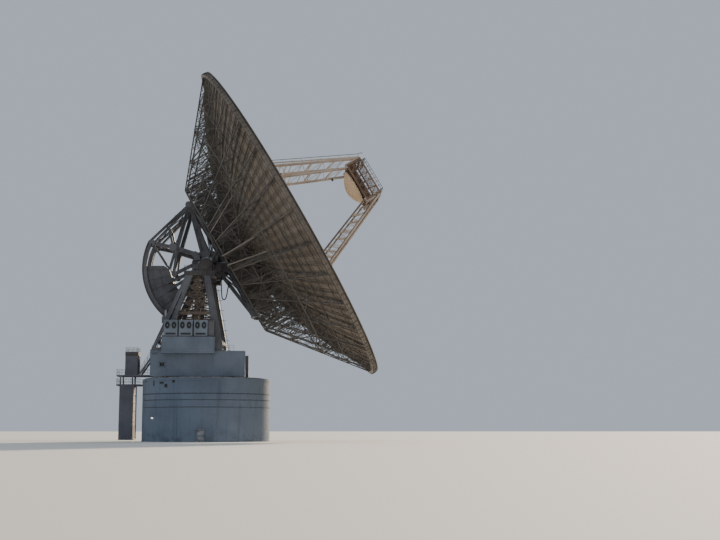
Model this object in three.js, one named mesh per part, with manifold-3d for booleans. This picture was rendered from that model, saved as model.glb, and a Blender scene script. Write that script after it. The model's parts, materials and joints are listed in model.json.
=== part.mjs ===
// Steerable radio telescope dish of the 70 m class, as a 1:10 scale model.
// Millimetres, +Z up. The origin is on the azimuth axis at ground level, and the dish faces +X.
// The rest pose points the dish 30.4 degrees above the horizon.
import * as THREE from 'three';
import * as BufferGeometryUtils from 'three/addons/utils/BufferGeometryUtils.js';
import Module from 'manifold-3d';

const wasm = await Module();
wasm.setup();

// Running gap between touching pieces
const GAP = 0.3;

// Pedestal
const DRUM_R = 1265;
const WALL_T = 107;
const FLOOR_T = 20;
const WALL_TOP = 1185;
const ROOF_TOP = 1215;
const WALL_SEGMENTS = 6;
const WALL_STEPS = 6;
const DOOR_W = 180;
const DOOR_H = 240;
const DOOR_T = 15;
const DOOR_SET_BACK = 30;
const RING_IN = 960;
const RING_OUT = 1230;
const RING_TOP = 1240;

// Alidade base frame
const BASE_REAR_X = -1040;
const BASE_FRONT_X = 800;
const FRONT_GIRDER_X = 700;
const TOWER_IN = 690;
const TOWER_OUT = 830;
const BASE_BOTTOM = 1262;
const BASE_TOP = 1760;
const CROSS_GIRDER_T = 140;
const DECK_T = 25;
const PADS_X = [[-980, -800], [620, 800]];

// Equipment on the near side of the base frame
const SHELF_OUT = 1000;
const SHELF_BOTTOM = 1700;
const SHELF_TOP = 1745;
const HOUSE_X = [-800, 210];
const HOUSE_TOP = 2020;
const FAN_X = -770;
const FAN_PITCH = 290;
const FAN_W = 265;
const FAN_TOP = 2340;
const FAN_R = 43;
const FAN_RING = 12;
const FAN_DEPTH = 22;

// Towers, as X positions at the head and at the base frame
const HEAD_BOTTOM = 3240;
const HEAD_TOP = 3330;
const REAR_LEG_TOP = [-390, -250];
const REAR_LEG_BASE = [-1035, -780];
const REAR_CHORD = 78;
const FRONT_LEG_TOP = [-25, 95];
const FRONT_LEG_BASE = [225, 375];
const TIE_Z = [2470, 2530];
const BLOCK_HALF = 130;
const BLOCK_BORE = 87;

// Hanging stair tower behind the base frame
const STAIR_HALF_Y = 200;
const LOWER_CABIN_X = [-1710, -1450];
const LOWER_CABIN_BOTTOM = 30;
const LOWER_DECK_Z = [1108, 1130];
const UPPER_DECK_X = -1780;
const UPPER_DECK_Z = [1290, 1315];
const UPPER_CABIN_X = [-1610, -1370];
const UPPER_CABIN_TOP = 1780;

// Tipping structure
const AXIS_Z = 3455;
const BORESIGHT_DEG = 30.4;
const WHEEL_IN = 300;
const WHEEL_OUT = 400;
const MEMBER_INSET = 15;
const WHEEL_R = 1295;
const WHEEL_RIM = 80;
const SHAFT_R = 85;
const TRUNNION_R = 150;
const TRUNNION_END = 670;
const WHEEL_START = 157;
const WHEEL_END = 257;
const WEIGHT_R = [745, WHEEL_R - WHEEL_RIM - GAP];
const WEIGHT_TOP_Z = 3500;
const WEIGHT_END = 229;
const WEIGHT_T = 200;

// Reflector, in the tipped frame: r from the boresight, a along it from the elevation axis
const DISH_R = 3500;
const FOCAL = 2710;
const VERTEX_A = 800;
const SHELL_T = 12;
const DISH_FACETS = 64;
const STATIONS = [290, 1000, 1800, 2650, 3500];
const RIB_END = 3440;
const REAR_A = 375;
const REAR_R = 1650;
const RIM_REAR_A = 1800;
const RIBS = 32;
const RIB_T = 18;
const CHORD = 26;
const POST = 20;
const HOOPS = [1630, 2640];
const HUB_IN = 150;
const HUB_R = 289;

// Feed support and subreflector
const LEG_FOOT_X = [1360, 1670];
const LEG_INNER_X = 352;
const LEG_Y = 410;
const LEG_HALF_W = 70;
const LEG_BAR = 20;
const LEG_BAYS = 6;
const LEG_POST_SHARE = 0.006;
const APEX_A = [3470, 3800];
const APEX_HALF_X = 425;
const APEX_HALF_Y = LEG_Y + LEG_HALF_W;
const APEX_RAIL = 42;
const APEX_RAIL_T = 30;
const SEAT_A = [3485, 3785];
const SEAT_T = 24;
const SEAT_DEPTH = 45;
const SUB_R = 365;
const SUB_RIM_A = 3425;
const SUB_BULGE = 165;
const SUB_POST = 120;

const steel = { color: 0xd9d7cf, roughness: 0.55, metalness: 0.2 };
const concrete = { color: 0xcfd2d4, roughness: 0.85, metalness: 0 };
const panelGrey = { color: 0xb9b3a6, roughness: 0.5, metalness: 0.3 };
const cream = { color: 0xe6dcc6, roughness: 0.5, metalness: 0.1 };
const darkRubber = { color: 0x26282b, roughness: 0.8, metalness: 0 };

const model = new THREE.Group();
const tipped = new THREE.Group();
tipped.position.z = AXIS_Z;
tipped.rotation.y = THREE.MathUtils.degToRad(90 - BORESIGHT_DEG);
model.add(tipped);

function addPiece(name, geometry, finish, group = model) {
  const mesh = new THREE.Mesh(geometry, new THREE.MeshStandardMaterial(finish));
  mesh.name = name;
  group.add(mesh);
}

function toSolid(geometry) {
  const bare = geometry.clone();
  bare.deleteAttribute('normal');
  bare.deleteAttribute('uv');
  const merged = BufferGeometryUtils.mergeVertices(bare, 1e-4);
  return new wasm.Manifold(new wasm.Mesh({
    numProp: 3,
    vertProperties: merged.attributes.position.array,
    triVerts: new Uint32Array(merged.index.array),
  }));
}

function toGeometry(solid) {
  const mesh = solid.getMesh();
  const geometry = new THREE.BufferGeometry();
  geometry.setAttribute('position', new THREE.BufferAttribute(mesh.vertProperties, 3));
  geometry.setIndex(new THREE.BufferAttribute(mesh.triVerts, 1));
  return geometry;
}

function union(geometries) {
  return toGeometry(geometries.map(toSolid).reduce((a, b) => a.add(b)));
}

function cut(body, tools) {
  return toGeometry(tools.map(toSolid).reduce((a, b) => a.subtract(b), toSolid(body)));
}

function box(x, y, z) {
  const geometry = new THREE.BoxGeometry(x[1] - x[0], y[1] - y[0], z[1] - z[0]);
  return geometry.translate((x[0] + x[1]) / 2, (y[0] + y[1]) / 2, (z[0] + z[1]) / 2);
}

// Flat outline in the XZ plane, with holes, made solid between two Y values
function plate(points, y, holes = []) {
  const shape = new THREE.Shape(points.map(([u, v]) => new THREE.Vector2(u, v)));
  for (const hole of holes) {
    shape.holes.push(new THREE.Path(hole.map(([u, v]) => new THREE.Vector2(u, v))));
  }
  const geometry = new THREE.ExtrudeGeometry(shape, { depth: y[1] - y[0], bevelEnabled: false });
  return geometry.rotateX(Math.PI / 2).translate(0, y[1], 0);
}

function polar(radius, degrees, centre = [0, 0]) {
  const angle = THREE.MathUtils.degToRad(degrees);
  return [centre[0] + radius * Math.cos(angle), centre[1] + radius * Math.sin(angle)];
}

function arcPoints(radius, start, end, steps, centre) {
  return Array.from({ length: steps + 1 }, (_, i) =>
    polar(radius, start + ((end - start) * i) / steps, centre));
}

// Ring sector about Z, between two radii and two heights
function ringSector(rIn, rOut, start, end, steps, z) {
  const outline = [
    ...arcPoints(rOut, start, end, steps),
    ...arcPoints(rIn, end, start, steps),
  ].map(([u, v]) => new THREE.Vector2(u, v));
  const settings = { depth: z[1] - z[0], bevelEnabled: false };
  return new THREE.ExtrudeGeometry(new THREE.Shape(outline), settings).translate(0, 0, z[0]);
}

function turned(profile, segments) {
  const points = profile.map(([r, a]) => new THREE.Vector2(r, a));
  return new THREE.LatheGeometry(points, segments).rotateX(Math.PI / 2);
}

// Closed ring of rectangular section about Z
function turnedRing(rIn, rOut, z, segments) {
  return turned([[rIn, z[0]], [rOut, z[0]], [rOut, z[1]], [rIn, z[1]], [rIn, z[0]]], segments);
}

function disc(radius, z, segments) {
  return turned([[0, z[0]], [radius, z[0]], [radius, z[1]], [0, z[1]]], segments);
}

// Square bar between two points
function bar(p, q, width) {
  const from = new THREE.Vector3(...p);
  const along = new THREE.Vector3(...q).sub(from);
  const geometry = new THREE.BoxGeometry(width, width, along.length() + width);
  const turn = new THREE.Quaternion().setFromUnitVectors(
    new THREE.Vector3(0, 0, 1), along.clone().normalize());
  geometry.applyQuaternion(turn);
  const middle = from.addScaledVector(along, 0.5);
  return geometry.translate(middle.x, middle.y, middle.z);
}

// Straight member in the XZ plane with its own width at each end
function member(p, q, wP, wQ = wP) {
  const length = Math.hypot(q[0] - p[0], q[1] - p[1]);
  const side = [-(q[1] - p[1]) / length / 2, (q[0] - p[0]) / length / 2];
  return [
    [p[0] - side[0] * wP, p[1] - side[1] * wP],
    [q[0] - side[0] * wQ, q[1] - side[1] * wQ],
    [q[0] + side[0] * wQ, q[1] + side[1] * wQ],
    [p[0] + side[0] * wP, p[1] + side[1] * wP],
  ];
}

// X of a leg edge at a given height, between its head and base positions
function edgeAt(top, base, z) {
  return top + ((base - top) * (HEAD_BOTTOM - z)) / (HEAD_BOTTOM - BASE_TOP);
}

const sides = [['near', -1], ['far', 1]];

function sideRange(side, inner, outer) {
  return side < 0 ? [-outer, -inner] : [inner, outer];
}

// Pedestal
function addPedestal() {
  const innerR = DRUM_R - WALL_T;
  addPiece('ground_floor', disc(innerR - 2 * GAP, [0, FLOOR_T], 36), concrete);
  const span = 360 / WALL_SEGMENTS;
  for (let i = 0; i < WALL_SEGMENTS; i += 1) {
    const middle = -90 + i * span;
    const margin = THREE.MathUtils.radToDeg(GAP / 2 / innerR);
    let wall = ringSector(innerR, DRUM_R, middle - span / 2 + margin,
      middle + span / 2 - margin, WALL_STEPS, [0, WALL_TOP]);
    if (i === 0) {
      wall = cut(wall, [box([-DOOR_W / 2, DOOR_W / 2], [-DRUM_R - 10, -innerR + 40], [-10, DOOR_H])]);
    }
    addPiece(`pedestal_wall_${i + 1}`, wall, concrete);
  }
  const doorY = -DRUM_R + DOOR_SET_BACK;
  const doorX = [-DOOR_W / 2 + GAP, DOOR_W / 2 - GAP];
  addPiece('pedestal_door', box(doorX, [doorY, doorY + DOOR_T], [0, DOOR_H - GAP]), steel);
  addPiece('pedestal_roof', disc(DRUM_R, [WALL_TOP + GAP, ROOF_TOP], 36), concrete);
  addPiece('azimuth_bearing_ring',
    turnedRing(RING_IN, RING_OUT, [ROOF_TOP + GAP, RING_TOP], 36), steel);
}

// Alidade base frame, with the pads that run on the bearing ring
function addBaseFrame() {
  for (const [word, side] of sides) {
    const y = sideRange(side, TOWER_IN, TOWER_OUT);
    const parts = [box([BASE_REAR_X, BASE_FRONT_X], y, [BASE_BOTTOM, BASE_TOP])];
    for (const x of PADS_X) {
      parts.push(box(x, y, [RING_TOP + GAP, BASE_BOTTOM + 10]));
    }
    if (side < 0) {
      parts.push(box([HOUSE_X[0] - 10, HOUSE_X[1] + 10], [-SHELF_OUT, -TOWER_OUT + 10],
        [SHELF_BOTTOM, SHELF_TOP]));
    }
    let girder = union(parts);
    if (side < 0) {
      girder = cut(girder, [
        box([-850, -770], [-TOWER_OUT - 10, -TOWER_OUT + 20], [1450, 1530]),
        box([-1000, -910], [-TOWER_OUT - 10, -TOWER_OUT + 20], [1690, 1715]),
      ]);
    }
    addPiece(`base_girder_${word}`, girder, steel);
  }
  const inner = TOWER_IN - GAP;
  const frontX = FRONT_GIRDER_X - CROSS_GIRDER_T;
  const rearX = BASE_REAR_X + CROSS_GIRDER_T;
  addPiece('base_girder_front',
    box([frontX, FRONT_GIRDER_X], [-inner, inner], [BASE_BOTTOM, BASE_TOP]), steel);
  addPiece('base_girder_rear',
    box([BASE_REAR_X, rearX], [-inner, inner], [BASE_BOTTOM, BASE_TOP]), steel);
  addPiece('alidade_deck',
    box([rearX + GAP, frontX - GAP], [-inner, inner], [BASE_TOP - DECK_T, BASE_TOP]), steel);
}

// House and the three fan units stacked on it
function addEquipment() {
  const y = [-SHELF_OUT, -TOWER_OUT - GAP];
  addPiece('equipment_house', box(HOUSE_X, y, [SHELF_TOP + GAP, HOUSE_TOP]), steel);
  for (let i = 0; i < 3; i += 1) {
    const x = FAN_X + i * FAN_PITCH;
    const centreZ = FAN_TOP - 95;
    const fans = [0.26, 0.74].map((part) => {
      const ring = turnedRing(FAN_R - FAN_RING, FAN_R, [0, FAN_DEPTH], 10);
      return ring.rotateX(-Math.PI / 2).translate(x + FAN_W * part, -SHELF_OUT - 10, centreZ);
    });
    const unit = cut(box([x, x + FAN_W], y, [HOUSE_TOP + GAP, FAN_TOP]), fans);
    addPiece(`fan_unit_${i + 1}`, unit, steel);
  }
}

// The two towers that carry the elevation axis
function addTowers() {
  for (const [word, side] of sides) {
    const y = sideRange(side, TOWER_IN, TOWER_OUT);
    const low = BASE_TOP + GAP;
    const high = HEAD_BOTTOM - GAP;
    const rear = [
      [REAR_LEG_BASE[0], low], [REAR_LEG_BASE[1], low],
      [REAR_LEG_TOP[1], high], [REAR_LEG_TOP[0], high],
    ];
    const slotTop = 2900;
    const slot = [
      [REAR_LEG_BASE[0] + REAR_CHORD, low + 60], [REAR_LEG_BASE[1] - REAR_CHORD, low + 60],
      [edgeAt(REAR_LEG_TOP[1], REAR_LEG_BASE[1], slotTop) - REAR_CHORD, slotTop],
      [edgeAt(REAR_LEG_TOP[0], REAR_LEG_BASE[0], slotTop) + REAR_CHORD, slotTop],
    ];
    addPiece(`${word}_rear_leg`, plate(rear, y, [slot]), steel);
    const front = [
      [FRONT_LEG_BASE[0], low], [FRONT_LEG_BASE[1], low],
      [FRONT_LEG_TOP[1], high], [FRONT_LEG_TOP[0], high],
    ];
    addPiece(`${word}_front_leg`, plate(front, y), steel);
    const tie = TIE_Z.map((z) => [
      edgeAt(REAR_LEG_TOP[1], REAR_LEG_BASE[1], z) + GAP,
      edgeAt(FRONT_LEG_TOP[0], FRONT_LEG_BASE[0], z) - GAP,
      z,
    ]);
    addPiece(`${word}_tower_tie`, plate([
      [tie[0][0], tie[0][2]], [tie[0][1], tie[0][2]],
      [tie[1][1], tie[1][2]], [tie[1][0], tie[1][2]],
    ], [y[0] + 30, y[1] - 30]), steel);
    const bore = arcPoints(BLOCK_BORE, 0, 342, 19, [0, AXIS_Z]);
    const head = [
      [-420, HEAD_BOTTOM], [190, HEAD_BOTTOM], [190, HEAD_TOP], [BLOCK_HALF, HEAD_TOP],
      ...arcPoints(BLOCK_HALF, 0, 180, 10, [0, AXIS_Z]),
      [-BLOCK_HALF, HEAD_TOP], [-420, HEAD_TOP],
    ];
    const block = plate(head, y, [bore]);
    addPiece(`${word}_tower_head`, side < 0 ? union([block, cableBracket()]) : block, steel);
  }
  const inner = TOWER_IN - GAP;
  const span = [-inner, inner];
  const rearX = edgeAt(REAR_LEG_TOP[0], REAR_LEG_BASE[0], 1950);
  addPiece('tower_cross_tie_rear', box([rearX, rearX + 70], span, [1920, 1990]), steel);
  const frontX = edgeAt(FRONT_LEG_TOP[1], FRONT_LEG_BASE[1], 1990);
  addPiece('tower_cross_tie_front', box([frontX - 70, frontX], span, [1920, 1990]), steel);
}

// Stair tower that hangs on the rear base girder and turns with it
function addStairTower() {
  const y = [-STAIR_HALF_Y, STAIR_HALF_Y];
  const edge = BASE_REAR_X - GAP;
  const deck = [box([UPPER_DECK_X, edge], y, UPPER_DECK_Z)];
  for (const braceY of [y[0], y[1] - 30]) {
    deck.push(plate(member([edge - 20, 1735], [-1340, 1310], 28), [braceY, braceY + 30]));
    deck.push(box([edge - 30, edge], [braceY, braceY + 30], [1300, BASE_TOP]));
    for (const x of [LOWER_CABIN_X[0], LOWER_CABIN_X[1] - 25]) {
      deck.push(box([x, x + 25], [braceY, braceY + 30], [LOWER_DECK_Z[1] + GAP, 1300]));
    }
  }
  addPiece('upper_platform', union(deck), steel);
  addPiece('upper_cabin', box(UPPER_CABIN_X, [y[0] + 15, y[1] - 15],
    [UPPER_DECK_Z[1] + GAP, UPPER_CABIN_TOP]), steel);
  addPiece('lower_platform', box([UPPER_DECK_X, -DRUM_R - 35], y, LOWER_DECK_Z), steel);
  addPiece('lower_cabin', box(LOWER_CABIN_X, [y[0] + 10, y[1] - 10],
    [LOWER_CABIN_BOTTOM, LOWER_DECK_Z[0] - GAP]), steel);
}

// Elevation wheels: hub, rim arc, open beams, spokes, struts and the rear girder of the reflector
const HUB_OUTLINE = [
  [-300, 3360], [-60, 3300], [250, 3300], [400, 3440], [330, 3560], [200, 3770],
  [60, 3810], [-200, 3760], [-310, 3580],
];
const APEX = [-400, 4740];
const CROSSING = [-697, 3870];
const TIE_END = [948, 2490];
const SPOKE_END_R = WHEEL_R - WHEEL_RIM / 2;

function wheelOutline() {
  const centre = [0, AXIS_Z];
  return [
    ...arcPoints(WHEEL_R, WHEEL_START, WHEEL_END, 15, centre),
    ...arcPoints(WHEEL_R - WHEEL_RIM, WHEEL_END, WHEEL_START, 15, centre),
  ];
}

function addWheels() {
  const members = [
    member(APEX, [-1185, 3965], 34),
    member([-415, 4680], [-1080, 3950], 34),
    member([-670, 4510], [-605, 4480], 28),
    member([-880, 4295], [-785, 4275], 28),
    member(APEX, [-750, 3440], 40, 46),
    member([-405, 4620], [-625, 3750], 34),
    member([-625, 3750], [-680, 3320], 34),
    member([-1120, 3955], CROSSING, 60),
    member(CROSSING, [-250, 3735], 78),
    member([-1090, 3920], [-800, 3470], 32),
    member([-790, 4270], CROSSING, 32),
    member([-690, 3310], [-200, 3560], 58),
    member([-780, 3150], [-200, 3410], 44),
    member([-760, 3000], [-200, 3370], 44),
    member(APEX, [-130, 3760], 44),
    member(APEX, [-30, 3780], 88),
    member([230, 3400], TIE_END, 56),
    member([-250, 3400], polar(SPOKE_END_R, 231, [0, AXIS_Z]), 44),
    member([-40, 3330], polar(SPOKE_END_R, WHEEL_END - 1.5, [0, AXIS_Z]), 44),
  ];
  for (const [word, side] of sides) {
    const y = sideRange(side, WHEEL_IN, WHEEL_OUT);
    const parts = [plate(HUB_OUTLINE, y), plate(wheelOutline(), y)];
    const thin = [y[0] + MEMBER_INSET, y[1] - MEMBER_INSET];
    members.forEach((outline) => parts.push(plate(outline, thin)));
    parts.push(plate(rearGirder(), y));
    const trunnion = turned([
      [0, WHEEL_OUT - 10], [TRUNNION_R, WHEEL_OUT - 10], [TRUNNION_R, TRUNNION_END],
      [SHAFT_R, TRUNNION_END], [SHAFT_R, TOWER_OUT + 30], [0, TOWER_OUT + 30],
    ], 20);
    parts.push(trunnion.rotateX((-side * Math.PI) / 2).translate(0, 0, AXIS_Z));
    if (side < 0) {
      parts.push(cableClamp());
    }
    addPiece(`${word}_elevation_wheel`, union(parts), steel);
  }
}

// Straight girder along the rear plane of the reflector backup, from a up side point to a down side one
function rearGirder() {
  const turn = THREE.MathUtils.degToRad(BORESIGHT_DEG);
  const place = (a, up) => [
    a * Math.cos(turn) - up * Math.sin(turn),
    AXIS_Z + a * Math.sin(turn) + up * Math.cos(turn),
  ];
  const top = REAR_A - GAP;
  return [place(top - 50, 1340), place(top - 50, -1330), place(top, -1350), place(top, 1360)];
}

// Counterweights inside the wheel arcs
function addCounterweights() {
  const centre = [0, AXIS_Z];
  const start = THREE.MathUtils.radToDeg(Math.asin((WEIGHT_TOP_Z - AXIS_Z) / WEIGHT_R[1]));
  const outer = arcPoints(WEIGHT_R[1], 180 - start, WEIGHT_END, 10, centre);
  const inner = [polar(WEIGHT_R[0], WEIGHT_END, centre), polar(WEIGHT_R[0], 205, centre),
    [-770, 3430], [-880, WEIGHT_TOP_Z]];
  for (const [word, side] of sides) {
    const y = sideRange(side, WHEEL_IN - WEIGHT_T, WHEEL_IN - GAP);
    addPiece(`${word}_counterweight`, plate([...outer, ...inner], y), steel);
  }
}

function addTippingFrame() {
  const inner = WHEEL_IN - GAP;
  addPiece('elevation_cross_girder',
    box([-150, 150], [-inner, inner], [AXIS_Z - 130, AXIS_Z + 130]), steel);
  const halfX = 1300;
  const bars = [-1, 0, 1].map((step) => {
    const x = step * (halfX - 40);
    return box([x - 35, x + 35], [-inner, inner], [REAR_A - 90, REAR_A - GAP]);
  });
  for (const [p, q] of [[-1, 0], [0, 1]]) {
    for (const flip of [-1, 1]) {
      const from = [p * (halfX - 40), flip * (inner - 40), REAR_A - 50];
      const to = [q * (halfX - 40), -flip * (inner - 40), REAR_A - 50];
      bars.push(bar(from, to, 40));
    }
  }
  addPiece('reflector_rear_frame', union(bars), steel, tipped);
}

function parabolaA(r) {
  return VERTEX_A + (r * r) / (4 * FOCAL);
}

// Front face of the shell, straight between its stations
function shellA(r) {
  const marks = [0, ...STATIONS.slice(1)];
  const next = Math.max(1, marks.findIndex((mark) => mark >= r));
  const from = marks[next - 1];
  return THREE.MathUtils.mapLinear(r, from, marks[next], parabolaA(from), parabolaA(marks[next]));
}

function rearChordA(r) {
  return REAR_A + (Math.max(0, r - REAR_R) * (RIM_REAR_A - REAR_A)) / (RIB_END - REAR_R);
}

// One radial rib as a flat open truss
function rib(angle) {
  const ends = [...STATIONS.slice(0, -1), RIB_END];
  const frontA = (r) => shellA(r) - SHELL_T - 2 * GAP;
  const outline = [
    [RIB_END, rearChordA(RIB_END)], [REAR_R, REAR_A], [ends[0], REAR_A],
    ...ends.map((r) => [r, frontA(r)]),
  ];
  const holes = ends.slice(1).map((end, i) => {
    const r0 = ends[i] + (i === 0 ? POST : POST / 2);
    const r1 = end - (end === RIB_END ? POST : POST / 2);
    const corner = r0 < REAR_R && r1 > REAR_R ? [[REAR_R, REAR_A + CHORD]] : [];
    return [
      [r0, rearChordA(r0) + CHORD], ...corner, [r1, rearChordA(r1) + CHORD],
      [r1, frontA(r1) - CHORD], [r0, frontA(r0) - CHORD],
    ];
  });
  return cut(plate(outline, [-RIB_T / 2, RIB_T / 2]), holes.map((hole) => plate(hole, [-RIB_T, RIB_T])))
    .rotateZ(THREE.MathUtils.degToRad(angle));
}

// Rib backup in four quarters, each with its hoops
function addBackup() {
  const step = 360 / RIBS;
  const perQuarter = RIBS / 4;
  for (let quarter = 0; quarter < 4; quarter += 1) {
    const start = quarter * 90;
    const parts = [];
    for (let i = 0; i < perQuarter; i += 1) {
      parts.push(rib(start + (i + 0.5) * step));
    }
    for (const r of HOOPS) {
      const a = rearChordA(r) + 2;
      const margin = THREE.MathUtils.radToDeg(GAP / r);
      const outline = (radius) => [
        polar(radius, start + margin),
        ...Array.from({ length: perQuarter }, (_, i) => polar(radius, start + (i + 0.5) * step)),
        polar(radius, start + 90 - margin),
      ];
      const points = [...outline(r + 12), ...outline(r - 12).reverse()];
      const shape = new THREE.Shape(points.map(([u, v]) => new THREE.Vector2(u, v)));
      parts.push(new THREE.ExtrudeGeometry(shape, { depth: 22, bevelEnabled: false })
        .translate(0, 0, a));
    }
    addPiece(`backup_frame_${quarter + 1}`, union(parts), steel, tipped);
  }
  const hubTop = (r) => shellA(r) - SHELL_T - GAP;
  addPiece('centre_hub', turned([
    [HUB_IN, REAR_A], [HUB_R, REAR_A], [HUB_R, hubTop(HUB_R)], [HUB_IN, hubTop(HUB_IN)],
    [HUB_IN, REAR_A],
  ], 32), steel, tipped);
  addPiece('rim_ring', turnedRing(RIB_END + 2 * GAP, DISH_R - 4,
    [RIM_REAR_A + 20, shellA(RIB_END) - SHELL_T - GAP], DISH_FACETS), steel, tipped);
}

// Paraboloid shell with the same stations as the ribs
function addReflector() {
  const front = [0, ...STATIONS.slice(1)].map((r) => [r, parabolaA(r)]);
  const back = front.map(([r, a]) => [r, a - SHELL_T]);
  addPiece('reflector', turned([...back, ...front.reverse()], DISH_FACETS), panelGrey, tipped);
}

// Takes away what lies behind the front face of the dish, with the running gap
function aboveDish(geometry) {
  const front = [0, ...STATIONS.slice(1)].map((r) => [r, parabolaA(r) + GAP]);
  const plug = turned([[0, REAR_A], [STATIONS[4], REAR_A], ...front.reverse()], DISH_FACETS);
  return cut(geometry, [plug]);
}

// Three feed cones on one base at the middle of the dish
function addFeeds() {
  const parts = [turned([[0, REAR_A + 10], [270, REAR_A + 10], [270, 1000], [230, 1040], [0, 1040]], 16)];
  for (let i = 0; i < 3; i += 1) {
    const cone = turned([[0, 1030], [130, 1030], [75, 1560], [0, 1560]], 10);
    const [x, y] = polar(135, 60 + i * 120);
    parts.push(cone.translate(x, y, 0));
  }
  addPiece('feed_cones', aboveDish(union(parts)), cream, tipped);
}

// One box-section leg in its own plane: two open side trusses, stepped round the cage, and cross bars
function feedLeg() {
  const footA = (x) => parabolaA(Math.hypot(x, LEG_Y - LEG_HALF_W)) - 10;
  const foot = LEG_FOOT_X.map((x) => [x, footA(x)]);
  const outerX = APEX_HALF_X + GAP;
  const underA = APEX_A[0] - GAP;
  const top = [[LEG_INNER_X, underA], [outerX, SEAT_A[1]]];
  const at = (k, t) => [0, 1].map((i) => THREE.MathUtils.lerp(foot[k][i], top[k][i], t));
  const shifted = ([x, a], dx) => [x + dx, a];
  const corner = box([0, outerX + LEG_BAR], [-LEG_HALF_W, LEG_HALF_W], [underA - LEG_BAR, APEX_A[1]]);
  const holes = Array.from({ length: LEG_BAYS }, (_, i) => {
    const t0 = i / LEG_BAYS + LEG_POST_SHARE / 2;
    const t1 = (i + 1) / LEG_BAYS - LEG_POST_SHARE / 2;
    return plate([
      shifted(at(0, t0), LEG_BAR), shifted(at(0, t1), LEG_BAR),
      shifted(at(1, t1), -LEG_BAR), shifted(at(1, t0), -LEG_BAR),
    ], [-LEG_HALF_W - 1, LEG_HALF_W + 1]);
  });
  const outline = [foot[0], foot[1], top[1], [outerX, underA], top[0]];
  const sides = [[-LEG_HALF_W, LEG_BAR - LEG_HALF_W], [LEG_HALF_W - LEG_BAR, LEG_HALF_W]];
  const parts = sides.map((y) => cut(plate(outline, y), [cut(union(holes), [corner])]));
  const cross = [LEG_BAR / 2 - LEG_HALF_W, LEG_HALF_W - LEG_BAR / 2];
  for (const t of [0.03, 0.5, 0.97]) {
    for (const k of [0, 1]) {
      const [x, a] = at(k, t);
      const middle = x + (k === 0 ? LEG_BAR : -LEG_BAR) / 2;
      parts.push(box([middle - 8, middle + 8], cross, [a - 8, a + 8]));
    }
  }
  return union(parts);
}

// The legs stand in two planes, one each side of the boresight
function addLegs() {
  const places = [[0, LEG_Y], [Math.PI, -LEG_Y], [Math.PI, LEG_Y], [0, -LEG_Y]];
  places.forEach(([turn, y], i) => {
    const leg = feedLeg().translate(0, y, 0).rotateZ(turn);
    addPiece(`feed_leg_${i + 1}`, aboveDish(leg), cream, tipped);
  });
}

// Cage between the tops of the legs, and the convex subreflector on its post under it
function addApex() {
  const x = [-APEX_HALF_X, APEX_HALF_X];
  const y = [-APEX_HALF_Y, APEX_HALF_Y];
  const inner = [APEX_HALF_X - APEX_RAIL, APEX_HALF_Y - APEX_RAIL];
  const parts = [APEX_A[0], APEX_A[1] - APEX_RAIL_T].map((a) => {
    const hole = box([-inner[0], inner[0]], [-inner[1], inner[1]], [a - 1, a + APEX_RAIL_T + 1]);
    return cut(box(x, y, [a, a + APEX_RAIL_T]), [hole]);
  });
  for (const side of [-1, 1]) {
    const seatX = sideRange(side, APEX_HALF_X - SEAT_T, APEX_HALF_X);
    const gussetX = sideRange(side, APEX_HALF_X - SEAT_DEPTH, APEX_HALF_X - SEAT_T + 5);
    for (const end of [-1, 1]) {
      parts.push(box(seatX, sideRange(end, LEG_Y - LEG_HALF_W, APEX_HALF_Y), SEAT_A));
      for (const edge of [LEG_Y - LEG_HALF_W, APEX_HALF_Y - LEG_BAR]) {
        parts.push(box(gussetX, sideRange(end, edge, edge + LEG_BAR), SEAT_A));
      }
    }
    const beamA = [APEX_A[0] + 2, APEX_A[0] + APEX_RAIL_T - 2];
    parts.push(box(sideRange(side, SUB_POST + GAP, inner[0] + 5), [-20, 20], beamA));
    parts.push(box([-20, 20], sideRange(side, SUB_POST + GAP, inner[1] + 5), beamA));
  }
  addPiece('apex_frame', union(parts), cream, tipped);
  const rings = 5;
  const front = Array.from({ length: rings + 1 }, (_, i) => {
    const r = (SUB_R * i) / rings;
    return [r, SUB_RIM_A - SUB_BULGE + SUB_BULGE * (r / SUB_R) ** 2];
  });
  const back = [[SUB_R, SUB_RIM_A + 12], [SUB_POST, SUB_RIM_A + 40], [SUB_POST, APEX_A[0] + 60],
    [0, APEX_A[0] + 60]];
  addPiece('subreflector', turned([...front, ...back], 24), cream, tipped);
}

// Hanging cable bundle between the near tower head and the tipping structure
const CABLE_Y = -672;
const CABLE_R = 11;
const CABLE_BEND = 92;
const BRACKET_Z = [HEAD_BOTTOM, HEAD_BOTTOM + 22];
const CLAMP_X = [432, 472];
const CLAMP_Z = [3112, 3142];
const CLAMP_END = CABLE_Y + CABLE_BEND + 12;
const CABLE_ROUTE = [
  [300, CABLE_Y, 3239.5], [300, CABLE_Y, 3205], [301, CABLE_Y, 3130], [304, CABLE_Y, 3060],
  [308, CABLE_Y, 2990], [312, CABLE_Y, 2920], [318, CABLE_Y, 2855], [330, CABLE_Y, 2805],
  [350, CABLE_Y, 2782], [374, CABLE_Y, 2783], [395, CABLE_Y, 2808], [412, CABLE_Y, 2860],
  [422, CABLE_Y, 2920], [429, CABLE_Y, 2975], [442, CABLE_Y, 3035], [451, CABLE_Y + 26, 3099],
  [452, CABLE_Y + CABLE_BEND, 3127], [452, CLAMP_END - GAP, 3127],
];

// Arm on the near tower head that the cable hangs from
function cableBracket() {
  return box([150, 318], [-TOWER_IN - 5, CABLE_Y + 16], BRACKET_Z);
}

// Arm on the near wheel's lower tie whose end face takes the other end
function cableClamp() {
  return box(CLAMP_X, [CLAMP_END, -WHEEL_OUT + MEMBER_INSET + 5], CLAMP_Z);
}

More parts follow.
